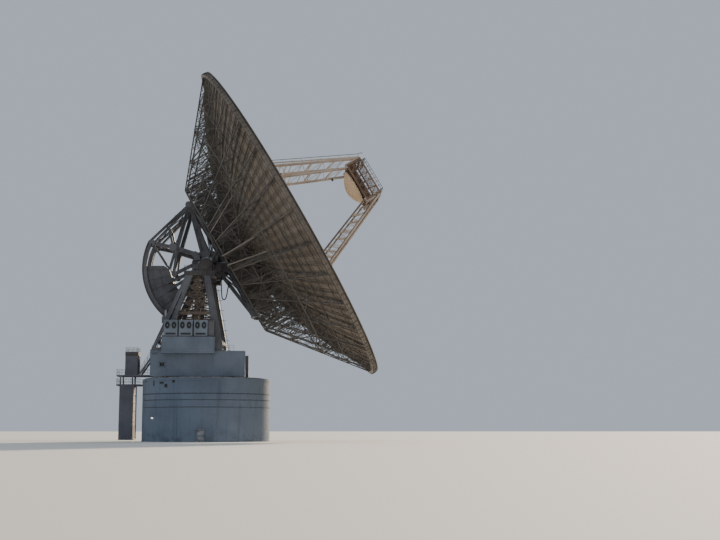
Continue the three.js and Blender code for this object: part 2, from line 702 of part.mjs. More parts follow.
function addCable() {
  const route = new THREE.CatmullRomCurve3(CABLE_ROUTE.map((point) => new THREE.Vector3(...point)));
  const section = new THREE.Shape(
    arcPoints(CABLE_R, 0, 315, 7).map(([u, v]) => new THREE.Vector2(u, v)));
  const tube = new THREE.ExtrudeGeometry(section, { steps: 36, bevelEnabled: false, extrudePath: route });
  addPiece('cable_loop', tube, darkRubber);
}

addPedestal();
addBaseFrame();
addEquipment();
addTowers();
addStairTower();
addWheels();
addCounterweights();
addTippingFrame();
addBackup();
addReflector();
addFeeds();
addLegs();
addApex();
addCable();

export default model;
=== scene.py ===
import json
import math
import random
from itertools import pairwise, product

import bmesh
import bpy
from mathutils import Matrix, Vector


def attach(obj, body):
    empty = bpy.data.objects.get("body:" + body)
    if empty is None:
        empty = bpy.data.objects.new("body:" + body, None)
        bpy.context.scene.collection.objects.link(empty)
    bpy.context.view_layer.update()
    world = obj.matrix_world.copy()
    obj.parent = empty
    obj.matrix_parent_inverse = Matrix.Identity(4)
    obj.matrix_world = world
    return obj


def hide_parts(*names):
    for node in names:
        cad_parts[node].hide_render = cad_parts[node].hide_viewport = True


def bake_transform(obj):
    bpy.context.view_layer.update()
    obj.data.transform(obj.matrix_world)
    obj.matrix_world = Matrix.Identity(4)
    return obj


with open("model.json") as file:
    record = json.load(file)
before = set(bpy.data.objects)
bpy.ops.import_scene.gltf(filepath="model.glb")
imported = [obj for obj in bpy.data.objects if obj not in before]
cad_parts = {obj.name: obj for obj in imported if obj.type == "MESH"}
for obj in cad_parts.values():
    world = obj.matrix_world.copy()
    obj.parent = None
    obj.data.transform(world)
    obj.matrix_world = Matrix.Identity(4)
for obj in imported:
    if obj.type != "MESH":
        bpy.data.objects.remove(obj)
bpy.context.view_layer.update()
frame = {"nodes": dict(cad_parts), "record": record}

random.seed(11)

# The steerable dish at rest: metres, +Z up, azimuth axis on Z, dish looking along +X and up
AXIS_Z = 3.455
BORESIGHT = math.radians(30.4)
AHEAD = Vector((math.cos(BORESIGHT), 0, math.sin(BORESIGHT)))
DOWN = Vector((math.sin(BORESIGHT), 0, -math.cos(BORESIGHT)))
SIDE = Vector((0, 1, 0))
UP = Vector((0, 0, 1))
FORWARD = Vector((1, 0, 0))
ELEVATION_AXIS = Vector((0, 0, AXIS_Z))

# Signs of the near and the far side, and of the corners of a quad
SIDES = (-1, 1)
CORNERS = ((-1, -1), (1, -1), (1, 1), (-1, 1))

# Reflector, as r from the boresight and a along it from the elevation axis
VERTEX_A = 0.8
FOCAL = 2.71
DISH_R = 3.5
STATIONS = [0, 1.0, 1.8, 2.65, DISH_R]
RIB_END = 3.44
REAR_A = 0.375
REAR_R = 1.65
RIM_REAR_A = 1.8
HUB_R = 0.29
CAD_RIBS = 32

# The panels lie this far in front of the paraboloid, and more where a chord between two stations of a rib,
# whose ends are set back from it, would come through them
PANEL_LIFT = 0.002
CHORD_SET = 0.0112

SHARP_ANGLE = math.radians(35)


def tip(x, y, a):
    """Point of the tipping structure: x towards the dish's lower edge, y along its axis, a ahead."""
    return ELEVATION_AXIS + DOWN * x + SIDE * y + AHEAD * a


def tip_polar(r, degrees, a):
    angle = math.radians(degrees)
    return tip(r * math.cos(angle), r * math.sin(angle), a)


def wheel_point(r, degrees, y):
    """Point about the elevation axis."""
    angle = math.radians(degrees)
    return Vector((r * math.cos(angle), y, AXIS_Z + r * math.sin(angle)))


def upright(r, degrees, z):
    """Point about the azimuth axis."""
    angle = math.radians(degrees)
    return Vector((r * math.cos(angle), r * math.sin(angle), z))


def parabola(r):
    return VERTEX_A + r * r / (4 * FOCAL)


def surface(r):
    """Front of the panels: the paraboloid, raised where the ribs' straight chords need it."""
    rise = max((r - r0) * (r1 - r) for r0, r1 in pairwise(STATIONS)) / (4 * FOCAL)
    return parabola(r) + max(PANEL_LIFT, rise - CHORD_SET)


def rear_a(r):
    return REAR_A + max(0.0, r - REAR_R) * (RIM_REAR_A - REAR_A) / (RIB_END - REAR_R)


def lerp(p, q, t):
    return p + (q - p) * t


def steps(low, high, count):
    """count + 1 values from low to high."""
    return [lerp(low, high, i / count) for i in range(count + 1)]


class Solids:
    """Collects closed solids into one mesh."""

    def __init__(self):
        self.verts = []
        self.faces = []
        self.tints = []
        self.tint = 0.5

    def add(self, points, faces):
        base = len(self.verts)
        self.verts.extend(tuple(p) for p in points)
        self.faces.extend(tuple(base + i for i in face) for face in faces)
        self.tints.extend([self.tint] * len(faces))

    def hexa(self, low, high):
        """Solid between two quads that run the same way round."""
        sides = [(k, (k + 1) % 4, (k + 1) % 4 + 4, k + 4) for k in range(4)]
        self.add([*low, *high], [(3, 2, 1, 0), (4, 5, 6, 7), *sides])

    def box(self, corner, opposite):
        """Upright box between two opposite corners."""
        (x0, y0, z0), (x1, y1, z1) = corner, opposite
        quad = [(x0, y0), (x1, y0), (x1, y1), (x0, y1)]
        self.hexa(*([(x, y, z) for x, y in quad] for z in (z0, z1)))

    def boxes(self, *rows):
        """Upright boxes, each row with x, y and z of two opposite corners."""
        for row in rows:
            self.box(row[:3], row[3:])

    def bar(self, p, q, width, depth=None, up=UP):
        """Rectangular bar from p to q; depth is measured along up."""
        p, q = Vector(p), Vector(q)
        along = (q - p).normalized()
        across = along.cross(up)
        if across.length < 1e-3:
            across = along.cross(FORWARD)
        across.normalize()
        lift = across.cross(along)
        ring = [across * (u * width / 2) + lift * (v * (depth or width) / 2) for u, v in CORNERS]
        self.hexa([q + c for c in ring], [p + c for c in ring])

    def strut(self, p, q, width, depth=None, up=UP):
        """Bar of the tipping structure between two points given as r, degrees and a."""
        self.bar(tip_polar(*p), tip_polar(*q), width, depth, up)

    def hoop(self, r, a, sides, width, depth=None, up=UP, start=0.0):
        """Ring of bars round the boresight."""
        for p, q in pairwise(steps(start, start + 360, sides)):
            self.strut((r, p, a), (r, q, a), width, depth, up)

    def loft(self, rings, closed=False):
        """Tube through rings of points, with flat ends unless closed on itself."""
        sides = len(rings[0])
        faces = []
        for i in range(len(rings) if closed else len(rings) - 1):
            a, b = i * sides, ((i + 1) % len(rings)) * sides
            for k in range(sides):
                n = (k + 1) % sides
                faces.append((a + k, a + n, b + n, b + k))
        if not closed:
            faces.append(tuple(reversed(range(sides))))
            faces.append(tuple((len(rings) - 1) * sides + k for k in range(sides)))
        self.add([p for ring in rings for p in ring], faces)

    def tube(self, points, radius, sides=8):
        """Round tube along points, its section turned as little as possible; one radius, or one per point."""
        points = [Vector(p) for p in points]
        radii = radius if isinstance(radius, tuple) else [radius] * len(points)
        angles = [2 * math.pi * k / sides for k in range(sides)]
        rings = []
        normal = None
        for i, point in enumerate(points):
            along = (points[min(i + 1, len(points) - 1)] - points[max(i - 1, 0)]).normalized()
            if normal is None:
                normal = along.orthogonal().normalized()
            normal = (normal - along * normal.dot(along)).normalized()
            across = along.cross(normal)
            rings.append([point + (normal * math.cos(w) + across * math.sin(w)) * radii[i] for w in angles])
        self.loft(rings)

    def cylinder(self, p, q, radius, end_radius=None, sides=16):
        self.tube([p, q], (radius, end_radius or radius), sides)

    def turned(self, profile, place, sides=64, start=0.0, sweep=360.0):
        """Closed profile of (r, a) pairs turned about the axis; place(r, degrees, a) gives the point."""
        whole = sweep >= 360
        count = sides if whole else sides + 1
        rings = [[place(r, start + sweep * k / sides, a) for r, a in profile] for k in range(count)]
        self.loft(rings, closed=whole)

    def ring(self, radii, ends, place, sides=64, start=0.0, sweep=360.0):
        """Turned ring of rectangular section."""
        (r0, r1), (a0, a1) = radii, ends
        self.turned([(r0, a0), (r1, a0), (r1, a1), (r0, a1)], place, sides, start, sweep)

    def teeth(self, angles, shape, ends, place):
        """Gear teeth: corners as (r, degrees) at each of the angles, between two ends along the axis."""
        for angle in angles:
            self.hexa(*([place(r, angle + turn, a) for r, turn in shape] for a in ends))

    def bolts(self, count, r, a, height, radius, place, start=0.0):
        """Ring of bolt heads."""
        for k in range(count):
            angle = start + 360 * k / count
            self.cylinder(place(r, angle, a), place(r, angle, a + height), radius, sides=6)

    def rail(self, points, height, posts, width=0.005, up=UP):
        """Handrail along a line of points: posts at even spacing, a middle bar and a top bar."""
        for p, q in pairwise(Vector(p) for p in points):
            for foot in steps(p, q, max(1, round((q - p).length / posts))):
                self.bar(foot, foot + up * height, width)
            for level in (0.5, 1.0):
                self.bar(p + up * height * level, q + up * height * level, width)

    def piece(self, name, body, finish, slot, smooth=False, replaces=()):
        mesh = bpy.data.meshes.new(name)
        mesh.from_pydata(self.verts, [], self.faces)
        tint = mesh.attributes.new("tint", "FLOAT", "FACE")
        tint.data.foreach_set("value", self.tints)
        made = bmesh.new()
        made.from_mesh(mesh)
        bmesh.ops.recalc_face_normals(made, faces=made.faces)
        made.to_mesh(mesh)
        made.free()
        if smooth:
            mesh.shade_smooth()
            mesh.set_sharp_from_angle(angle=SHARP_ANGLE)
        obj = bpy.data.objects.new(name, mesh)
        bpy.context.scene.collection.objects.link(obj)
        obj.data.materials.append(MATERIALS[finish])
        if body:
            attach(obj, body)
        if replaces:
            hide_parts(*replaces)
        return obj


# Camera at the photograph's viewing angle
CAMERA_AT = (1.9196, -23.7419, 0.2098)
CAMERA_TURN = 0.0491
CAMERA_RISE = 0.1368
CAMERA_LENS = 58.43


def add_camera():
    data = bpy.data.cameras.new("view")
    data.lens = CAMERA_LENS
    data.sensor_width = 36
    data.sensor_fit = "HORIZONTAL"
    data.clip_end = 2000
    camera = bpy.data.objects.new("view", data)
    camera.location = CAMERA_AT
    camera.rotation_euler = (math.pi / 2 + CAMERA_RISE, 0, -CAMERA_TURN)
    bpy.context.scene.collection.objects.link(camera)
    bpy.context.scene.camera = camera


# Hanging cable bundle, from the bracket on the near tower head to the arm on the near wheel:
# x and z down to the loop's low point and up again at CABLE_Y, then the bend to the arm
CABLE_R = 0.011
CABLE_Y = -0.672
CABLE_LOOP = [
    (0.300, 3.2395), (0.300, 3.205), (0.301, 3.130), (0.304, 3.060), (0.308, 2.990), (0.312, 2.920),
    (0.318, 2.855), (0.330, 2.805), (0.350, 2.782), (0.374, 2.783), (0.395, 2.808), (0.412, 2.860),
    (0.422, 2.920), (0.429, 2.975), (0.442, 3.035),
]
CABLE_BEND = [(0.451, -0.646, 3.099), (0.452, -0.580, 3.127), (0.452, -0.5683, 3.127)]
CABLE_ROUTE = [(x, CABLE_Y, z) for x, z in CABLE_LOOP] + CABLE_BEND


def smooth_route(points, per_span=6):
    """Catmull-Rom curve through points."""
    points = [Vector(p) for p in points]
    line = [points[0] * 2 - points[1], *points, points[-1] * 2 - points[-2]]
    route = []
    for a, b, c, d in zip(line, line[1:], line[2:], line[3:]):
        for t in (i / per_span for i in range(per_span)):
            route.append(0.5 * ((2 * b) + (c - a) * t + (2 * a - 5 * b + 4 * c - d) * t * t
                                + (3 * b - a - 3 * c + d) * t * t * t))
    return [*route, points[-1]]


def add_cable():
    route = smooth_route(CABLE_ROUTE)
    solids = Solids()
    solids.tube(route, CABLE_R, sides=12)
    cable = solids.piece("cable_bundle", None, "rubber", "cable_rubber", smooth=True)
    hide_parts("cable_loop")
    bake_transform(cable)


# Materials: procedural, in the piece's own metres
def toned(colour, factor):
    return tuple(c * factor for c in colour)


class Nodes:
    """A material's node tree with short calls for the nodes used here."""

    def __init__(self, name):
        self.material = bpy.data.materials.new(name)
        self.material.use_nodes = True
        self.tree = self.material.node_tree
        self.shader = self.tree.nodes["Principled BSDF"]
        self.place = self.tree.nodes.new("ShaderNodeTexCoord").outputs["Object"]

    def put(self, socket, value):
        """Link another node's output to a socket, or set a constant on it."""
        if isinstance(value, bpy.types.NodeSocket):
            self.tree.links.new(value, socket)
        elif socket.type == "RGBA":
            socket.default_value = (*value, 1.0)
        else:
            socket.default_value = value

    def new(self, kind, inputs=None, **settings):
        node = self.tree.nodes.new(kind)
        for key, value in settings.items():
            setattr(node, key, value)
        for socket, value in (inputs or {}).items():
            self.put(node.inputs[socket], value)
        return node

    def noise(self, scale, detail=4.0, stretch=(1, 1, 1), roughness=0.5):
        place = self.new("ShaderNodeMapping", {"Vector": self.place, "Scale": stretch}).outputs["Vector"]
        inputs = {"Vector": place, "Scale": scale, "Detail": detail, "Roughness": roughness}
        return self.new("ShaderNodeTexNoise", inputs).outputs["Fac"]

    def band(self, value, low, high, low_to=0.0, high_to=1.0):
        inputs = {"Value": value, "From Min": low, "From Max": high, "To Min": low_to, "To Max": high_to}
        return self.new("ShaderNodeMapRange", inputs, interpolation_type="SMOOTHSTEP").outputs["Result"]

    def multiply(self, a, b):
        return self.new("ShaderNodeMath", {0: a, 1: b}, operation="MULTIPLY").outputs[0]

    def mix(self, factor, a, b):
        inputs = {"Factor": factor, "A": a, "B": b}
        return self.new("ShaderNodeMix", inputs, data_type="RGBA").outputs["Result"]

    def bump(self, value, distance, strength):
        node = self.new("ShaderNodeBump", {"Height": value, "Distance": distance, "Strength": strength})
        self.put(self.shader.inputs["Normal"], node.outputs["Normal"])

    def done(self, colour, roughness, metallic=0.0):
        for socket, value in (("Base Color", colour), ("Roughness", roughness), ("Metallic", metallic)):
            self.put(self.shader.inputs[socket], value)
        return self.material


RUST = (0.19, 0.075, 0.03)
RUN_DOWN = (9, 9, 0.8)


def paint(name, base, shade, dirt, rust, tinted=0.0):
    """Weathered paint: two tones, streaks running down, grime and a little rust."""
    n = Nodes(name)
    colour = n.mix(n.band(n.noise(2.2, 5), 0.35, 0.68), base, shade)
    if tinted:
        tint = n.new("ShaderNodeAttribute", attribute_name="tint").outputs["Fac"]
        darker = n.mix(n.noise(3.0), toned(base, 1 - tinted), shade)
        colour = n.mix(n.band(tint, 0.0, 1.0), colour, darker)
    grime = toned(shade, 0.45)
    streaks = n.band(n.noise(1.6, 6, RUN_DOWN, 0.6), 0.52, 0.78, 0.0, dirt)
    specks = n.band(n.noise(34, 3), 0.58, 0.75, 0.0, dirt * 0.6)
    colour = n.mix(specks, n.mix(streaks, colour, grime), grime)
    spots = n.multiply(n.band(n.noise(5.5, 8, roughness=0.7), 0.6, 0.7), n.band(n.noise(40, 4), 0.45, 0.6))
    colour = n.mix(n.multiply(spots, rust), colour, RUST)
    n.bump(n.noise(90, 3), 0.0012, 0.35)
    return n.done(colour, n.band(n.noise(11, 3), 0.3, 0.7, 0.45, 0.7))


def concrete(name, base, shade):
    """Painted concrete with rain streaks, damp near the ground and fine pores."""
    n = Nodes(name)
    stain = toned(shade, 0.5)
    colour = n.mix(n.band(n.noise(1.3, 6), 0.35, 0.7), base, shade)
    colour = n.mix(n.band(n.noise(1.5, 7, (7, 7, 0.5), 0.62), 0.5, 0.78, 0.0, 0.5), colour, stain)
    height = n.new("ShaderNodeSeparateXYZ", {0: n.place}).outputs["Z"]
    damp = n.band(height, 0.0, 0.35, 0.55, 0.0)
    colour = n.mix(n.multiply(damp, n.band(n.noise(6, 5), 0.35, 0.65)), colour, stain)
    n.bump(n.noise(160, 5), 0.0015, 0.5)
    return n.done(colour, n.band(n.noise(20, 3), 0.3, 0.7, 0.75, 0.95))


def metal(name, base, roughness):
    """Bare worked steel with fine scratches and oil stains."""
    n = Nodes(name)
    colour = n.mix(n.band(n.noise(14, 5), 0.4, 0.7), base, toned(base, 0.45))
    n.bump(n.noise(220, 2), 0.0006, 0.3)
    return n.done(colour, n.band(n.noise(30, 4), 0.3, 0.7, roughness - 0.1, roughness + 0.15), 0.85)


def plain(name, base, roughness, painted_glint=0.0):
    """Rubber, lamp glass that glows with a painted glint, or shadowed gaps, with slight unevenness."""
    n = Nodes(name)
    lighter = tuple(min(1.0, c * 1.7 + 0.01) for c in base)
    n.bump(n.noise(120, 2), 0.0006, 0.3)
    # Glow on the lamp glass: a painted glint
    if painted_glint:
        n.put(n.shader.inputs["Emission Color"], (1.0, 0.95, 0.85))
        n.put(n.shader.inputs["Emission Strength"], painted_glint)
    return n.done(n.mix(n.band(n.noise(25, 4), 0.4, 0.75), base, lighter), roughness)


# Paints: a tone and a darker tone mixed at random, dirt, rust, and for the panels how much they differ.
# The object is painted white all over; these tones are painted light and shade: dark greys, blue-greys
# and browns for the parts in shade, warm pale tones for the sunlit ones
PAINTS = {
    "structure": ((0.158, 0.162, 0.180), (0.108, 0.108, 0.120), 0.45, 0.6),
    "tipping": ((0.150, 0.150, 0.163), (0.100, 0.096, 0.105), 0.45, 0.6),
    "bracing": ((0.190, 0.145, 0.110), (0.120, 0.090, 0.070), 0.45, 0.7),
    "cabin": ((0.150, 0.152, 0.180), (0.112, 0.112, 0.136), 0.35, 0.3),
    # Warm pale tone: painted sunlight on the lower cabin's lit side
    "painted_sunlight": ((0.72, 0.62, 0.48), (0.55, 0.46, 0.34), 0.3, 0.4),
    "housing": ((0.190, 0.229, 0.288), (0.146, 0.178, 0.226), 0.3, 0.2),
    "fan": ((0.235, 0.270, 0.315), (0.180, 0.207, 0.243), 0.3, 0.2),
    # Near black: painted deep shade on the tower heads, bearing caps, fan guards, cabin louvres and wheel rim
    # edges
    "head": ((0.085, 0.075, 0.072), (0.055, 0.048, 0.045), 0.45, 0.5),
    "stiffener": ((0.165, 0.138, 0.108), (0.115, 0.095, 0.074), 0.4, 0.2),
    "rim": ((0.250, 0.210, 0.165), (0.170, 0.140, 0.108), 0.5, 0.2),
    "backup": ((0.130, 0.118, 0.104), (0.088, 0.080, 0.070), 0.5, 0.35),
    "lacing": ((0.165, 0.150, 0.132), (0.108, 0.098, 0.086), 0.5, 0.3),
    "chord": ((0.240, 0.205, 0.175), (0.165, 0.140, 0.120), 0.5, 0.3),
    "panel": ((0.270, 0.225, 0.175), (0.195, 0.160, 0.122), 0.4, 0.1, 0.22),
    "feed": ((0.84, 0.73, 0.59), (0.72, 0.61, 0.47), 0.25, 0.2),
    "leg": ((0.470, 0.410, 0.355), (0.330, 0.275, 0.230), 0.35, 0.6),
    "rail": ((0.155, 0.120, 0.100), (0.100, 0.075, 0.060), 0.4, 0.4),
    "apex": ((0.200, 0.135, 0.095), (0.115, 0.075, 0.052), 0.5, 0.6),
}


def make_materials():
    return {
        **{key: paint(f"{key}_paint", *values) for key, values in PAINTS.items()},
        # Blue-grey: painted shade, the white-painted concrete as it looks in shade under the sky
        "concrete": concrete("painted_concrete", (0.162, 0.203, 0.262), (0.122, 0.154, 0.204)),
        # Dark joint colour with painted shade, for the rings in the grooves
        "joint_shade": plain("joint_shadow", (0.060, 0.073, 0.090), 0.9),
        "steel": metal("worked_steel", (0.34, 0.34, 0.35), 0.42),
        "rubber": plain("cable_rubber", (0.018, 0.018, 0.02), 0.7),
        "dark": plain("shadow_gap", (0.012, 0.013, 0.016), 0.6),
        "white": plain("lamp_glass", (0.75, 0.73, 0.68), 0.3, 2.0),
    }


# Reflector panels in rings, each panel a thin curved plate
RINGS = steps(HUB_R, REAR_R, 6) + steps(REAR_R, DISH_R, 8)[1:]
PANEL_COUNTS = [24] * 2 + [48] * 4 + [96] * 8
PANEL_T = 0.006
PANEL_GAP = 0.0006
STIFFENER = 0.010
AROUND = 192


def plate(radii):
    """Section of a panel through the given radii."""
    return [(r, surface(r)) for r in radii] + [(r, surface(r) - PANEL_T) for r in reversed(radii)]


def add_panels():
    solids = Solids()
    for (r0, r1), count in zip(pairwise(RINGS), PANEL_COUNTS):
        low, high = r0 + PANEL_GAP, r1 - (0 if r1 == DISH_R else PANEL_GAP)
        profile = plate(steps(low, high, 3))
        gap = math.degrees(PANEL_GAP / low)
        for k in range(count):
            solids.tint = random.random()
            angles = steps(360 * k / count + gap, 360 * (k + 1) / count - gap, AROUND // count)
            solids.loft([[tip_polar(r, angle, a) for r, a in profile] for angle in angles])
    solids.tint = 0.5
    solids.turned(plate([0.01, 0.1, 0.2, HUB_R]), tip_polar, 48)
    solids.piece("reflector_panels", "dish", "panel", "reflector_panel", replaces=["reflector"])


def add_panel_stiffeners():
    """Stiffeners on the back of every panel, and a channel along each ring."""
    solids = Solids()
    for (r0, r1), count in zip(pairwise(RINGS), PANEL_COUNTS):
        for k, share in product(range(count), (0.3, 0.7)):
            angle = 360 * (k + share) / count
            p, q = ((r, angle, surface(r) - PANEL_T - STIFFENER / 2) for r in (r0 + 0.01, r1 - 0.01))
            solids.strut(p, q, 0.004, STIFFENER, AHEAD)
        edge = surface(r1) - PANEL_T - STIFFENER / 2
        solids.hoop(r1 - 0.006, edge, min(2 * count, 96), 0.005, STIFFENER, AHEAD)
    solids.piece("panel_stiffeners", "dish", "stiffener", "reflector_panel")


def add_rim_cleats():
    """Cleats at the ribs' ends, smaller ones between them, and the seams round the rim ring."""
    solids = Solids()
    low, high = RIM_REAR_A + 0.016, parabola(RIB_END) - 0.002
    for k in range(AROUND):
        angle, width = 360 * k / AROUND, 0.015 if k % 2 else 0.006
        out = tip_polar(1, angle, 0) - ELEVATION_AXIS
        solids.strut((DISH_R, angle, low), (DISH_R, angle, high), width, width, out)
    for a, width in ((lerp(low, high, 0.45), 0.006), (high, 0.012)):
        solids.hoop(DISH_R, a, AROUND, width, width, AHEAD)
    solids.piece("rim_cleats", "dish", "backup", "reflector_panel")


# Finer truss work between the main ribs
HOOPS = [0.5, 0.75, 1.0, 1.25, 1.5] + steps(REAR_R, RIB_END, 8)
RIB_STEP = 360 / CAD_RIBS
RIB_ANGLES = steps(RIB_STEP / 2, RIB_STEP / 2 + 360, CAD_RIBS)
FRONT_SET = 0.026
WEB_SET = 0.008
REAR_SET = 0.012


def front_a(r):
    return parabola(r) - FRONT_SET


def add_fine_ribs():
    """Webs of the main ribs, and two shallow ribs close behind the panels between each pair of them."""
    solids = Solids()
    for k in range(3 * CAD_RIBS):
        main = k % 3 == 0
        angle = RIB_STEP / 2 + k * RIB_STEP / 3
        for i, (r0, r1) in enumerate(pairwise(r for r in HOOPS if main or r >= 1.0)):
            if main:
                low, high = (rear_a, front_a) if i % 2 else (front_a, rear_a)
                solids.strut((r0, angle, low(r0) + WEB_SET), (r1, angle, high(r1) + WEB_SET), 0.011)
                solids.strut((r1, angle, rear_a(r1) + WEB_SET), (r1, angle, front_a(r1)), 0.010)
            else:
                solids.strut((r0, angle, front_a(r0)), (r1, angle, front_a(r1)), 0.008, 0.016, AHEAD)
    solids.piece("fine_ribs", "dish", "lacing", "backup_paint")


def add_hoops():
    """Chords and crosses from rib to rib, and diagonals across the rear."""
    solids = Solids()
    for i, r in enumerate(HOOPS):
        low, high = rear_a(r) + REAR_SET, front_a(r)
        solids.hoop(r, high, CAD_RIBS, 0.010, start=RIB_ANGLES[0])
        if i % 2:
            solids.hoop(r, low, CAD_RIBS, 0.009, start=RIB_ANGLES[0])
            for p, q in pairwise(RIB_ANGLES):
                solids.strut((r, p, low), (r, q, high), 0.006)
                solids.strut((r, p, high), (r, q, low), 0.006)
    for i, (r0, r1) in enumerate(pairwise(HOOPS)):
        for k, (p, q) in enumerate(pairwise(RIB_ANGLES)):
            start, end = (p, q) if (i + k) % 2 else (q, p)
            solids.strut((r0, start, rear_a(r0) + REAR_SET), (r1, end, rear_a(r1) + REAR_SET), 0.006)
    solids.piece("backup_hoops", "dish", "lacing", "backup_paint")


# Deep space frame behind the middle of the dish
CORE_RADII = [HUB_R + 0.02, 0.5, 0.75, 1.0, 1.25, 1.5, REAR_R]
CORE_REACH = 1.58
CORE_BAY = 0.075
CORE_FRONT = 0.80


def add_core_frame():
    """A middle layer tied to the ribs' front and rear, and upright trusses that run across it."""
    solids = Solids()
    rear = REAR_A + REAR_SET
    for i, (r0, r1) in enumerate(pairwise(CORE_RADII)):
        middle0, middle1 = ((REAR_A + parabola(r)) / 2 for r in (r0, r1))
        solids.hoop(r1, middle1, CAD_RIBS, 0.009, start=RIB_ANGLES[0])
        for k, (here, there) in enumerate(pairwise(RIB_ANGLES)):
            solids.strut((r0, here, middle0), (r1, here, middle1), 0.009)
            start, end = (here, there) if (i + k) % 2 else (there, here)
            solids.strut((r0, start, rear), (r1, end, rear), 0.010)
            solids.strut((r0, end, middle0), (r1, start, rear), 0.008)
            solids.strut((r0, start, middle0), (r1, end, front_a(r1)), 0.008)
    low = REAR_A + 0.014
    for i, y in enumerate(steps(-1.4, 1.4, 12)):
        reach = math.sqrt(CORE_REACH ** 2 - y * y)
        marks = [(x, min(CORE_FRONT, front_a(max(HUB_R, math.hypot(x, y)))) - 0.012)
                 for x in steps(-reach, reach, max(2, round(reach / CORE_BAY)))]
        for j, ((x0, high0), (x1, high1)) in enumerate(pairwise(marks)):
            if max(abs(x0), abs(x1), abs(y)) < HUB_R:
                continue
            first, second = (low, high1) if (i + j) % 2 else (high0, low)
            for a0, a1, width in ((low, low, 0.013), (high0, high1, 0.010), (first, second, 0.008),
                                  ((low + high0) / 2, (low + high1) / 2, 0.008)):
                solids.bar(tip(x0, y, a0), tip(x1, y, a1), width)
            solids.bar(tip(x1, y, low), tip(x1, y, high1), 0.009)
    solids.piece("core_frame", "dish", "backup", "backup_paint")


# Three long chords on each side, from the elevation hub out along the backup, each with its radius
SIDE_CHORDS = [
    ([(-0.05, 0.46, 0.365), (0.15, 1.66, 0.365), (0.27, 2.46, 1.02)], 0.014),
    ([(0.22, 0.46, 0.365), (0.35, 1.63, 0.365), (0.62, 2.50, 1.10)], 0.014),
    ([(-0.32, 0.46, 0.365), (-0.35, 1.63, 0.365), (-0.60, 2.46, 1.06)], 0.009),
]


def add_side_chords():
    solids = Solids()
    for side, (chord, radius) in product(SIDES, SIDE_CHORDS):
        for p, q in pairwise(tip(x, side * y, a) for x, y, a in chord):
            solids.cylinder(p, q, radius, sides=10)
    solids.piece("side_chords", "dish", "chord", "structure_paint", smooth=True)


# Feed support legs: two planes beside the boresight, each leg given by its x sign and y sign
LEGS = [(1, 1), (-1, 1), (-1, -1), (1, -1)]
FAR_UPPER, NEAR_UPPER = LEGS[1:3]
LEG_FOOT_X = (1.36, 1.67)
LEG_INNER_X = 0.352
LEG_Y = 0.41
LEG_HALF_W = 0.07
LEG_BAR = 0.02
LEG_LACING_BAYS = 13
APEX_A = (3.47, 3.80)
APEX_HALF = (0.425, 0.48)
SEAT_TOP_A = 3.785


def leg_point(leg, chord, side, t, lift=0.0):
    """Point on a leg's chord 0 (inner) or 1 (outer), on its -1 or 1 side, at share t of its length."""
    foot_x = LEG_FOOT_X[chord]
    foot_a = parabola(math.hypot(foot_x, LEG_Y - LEG_HALF_W)) - 0.01
    top_x, top_a = ((LEG_INNER_X, APEX_A[0] - 0.002), (APEX_HALF[0], SEAT_TOP_A))[chord]
    inset = LEG_BAR / 2 if chord == 0 else -LEG_BAR / 2
    x = lerp(foot_x, top_x, t) + inset + lift
    y = leg[1] * LEG_Y + side * (LEG_HALF_W - LEG_BAR / 2)
    return tip(leg[0] * x, y, lerp(foot_a, top_a, t))


def add_leg_lacing():
    solids = Solids()
    shares = steps(0.03, 0.97, LEG_LACING_BAYS)[:-1]
    for leg, (j, (t0, t1)) in product(LEGS, enumerate(pairwise(shares))):
        first = (j + 1) % 2
        for side in SIDES:
            solids.bar(leg_point(leg, 0, side, t1), leg_point(leg, 1, side, t1), 0.009)
            solids.bar(leg_point(leg, first, side, t0), leg_point(leg, 1 - first, side, t1), 0.006)
        side = 1 if j % 2 else -1
        for chord, t in product((0, 1), (t0, t1)):
            solids.bar(leg_point(leg, chord, side, t), leg_point(leg, chord, -side, t1), 0.006)
    solids.piece("leg_lacing", "dish", "leg", "feed_paint")


# The walkway's rail bends over the cage with this radius, this far outside its end
BEND_R = 0.035
BEND_A = 0.043


def add_leg_walkway():
    """Walkway and rail along the near upper leg, covers on all legs, dark trays on the lower legs' chords as
    painted shade, and boxes on the far upper leg.
    """
    walk, line, covers, trays, boxes = (Solids() for _ in range(5))
    shares = steps(0.10, 1.0, 14)
    tray = [leg_point(NEAR_UPPER, 1, -1, t, lerp(0.082, 0.022, t)) for t in shares]
    rail = [leg_point(NEAR_UPPER, 1, -1, t, lerp(0.138, 0.092, t)) for t in shares]
    for p, q in pairwise(tray):
        walk.bar(p, q, 0.022, 0.024, SIDE)
    for t, top in zip(shares, rail):
        walk.bar(leg_point(NEAR_UPPER, 1, -1, t, 0.01), top, 0.007)
    walk.piece("leg_walkway", "dish", "leg", "feed_paint")
    for w in steps(0, math.pi / 2, 4)[1:]:
        x = APEX_HALF[0] + BEND_R + BEND_R * math.cos(w)
        rail.append(tip(-x, -LEG_Y - 0.06, APEX_A[1] + BEND_A + BEND_R * math.sin(w)))
    line.tube(rail, 0.006, sides=6)
    line.piece("leg_handrail", "dish", "rail", "feed_paint")
    # Lower legs: their inner chords' angles and a bar inside each outer chord go into the dark trays, painted
    # shade that makes these chords read darker and thicker
    for leg, chord, side in product(LEGS, (0, 1), SIDES):
        upper = leg[0] < 0
        target = covers if upper or chord else trays
        target.bar(*(leg_point(leg, chord, side, t) for t in (0.01, 0.985)), 0.025, up=SIDE)
        if chord and not upper:
            trays.bar(*(leg_point(leg, chord, side, t, -0.022) for t in (0.01, 0.97)), 0.020, up=SIDE)
    covers.piece("leg_chord_angles", "dish", "leg", "feed_paint")
    trays.piece("leg_trays_painted_shade", "dish", "rail", "feed_paint")
    p = leg_point(FAR_UPPER, 0, -1, 0.883, -0.01)
    boxes.bar(p + DOWN * 0.005, p + DOWN * 0.06, 0.045, 0.035, AHEAD)
    p = leg_point(FAR_UPPER, 1, -1, 0.45)
    boxes.bar(p, p + DOWN * 0.03, 0.03, 0.06, AHEAD)
    boxes.piece("leg_junction_boxes", "dish", "dark", "feed_paint")


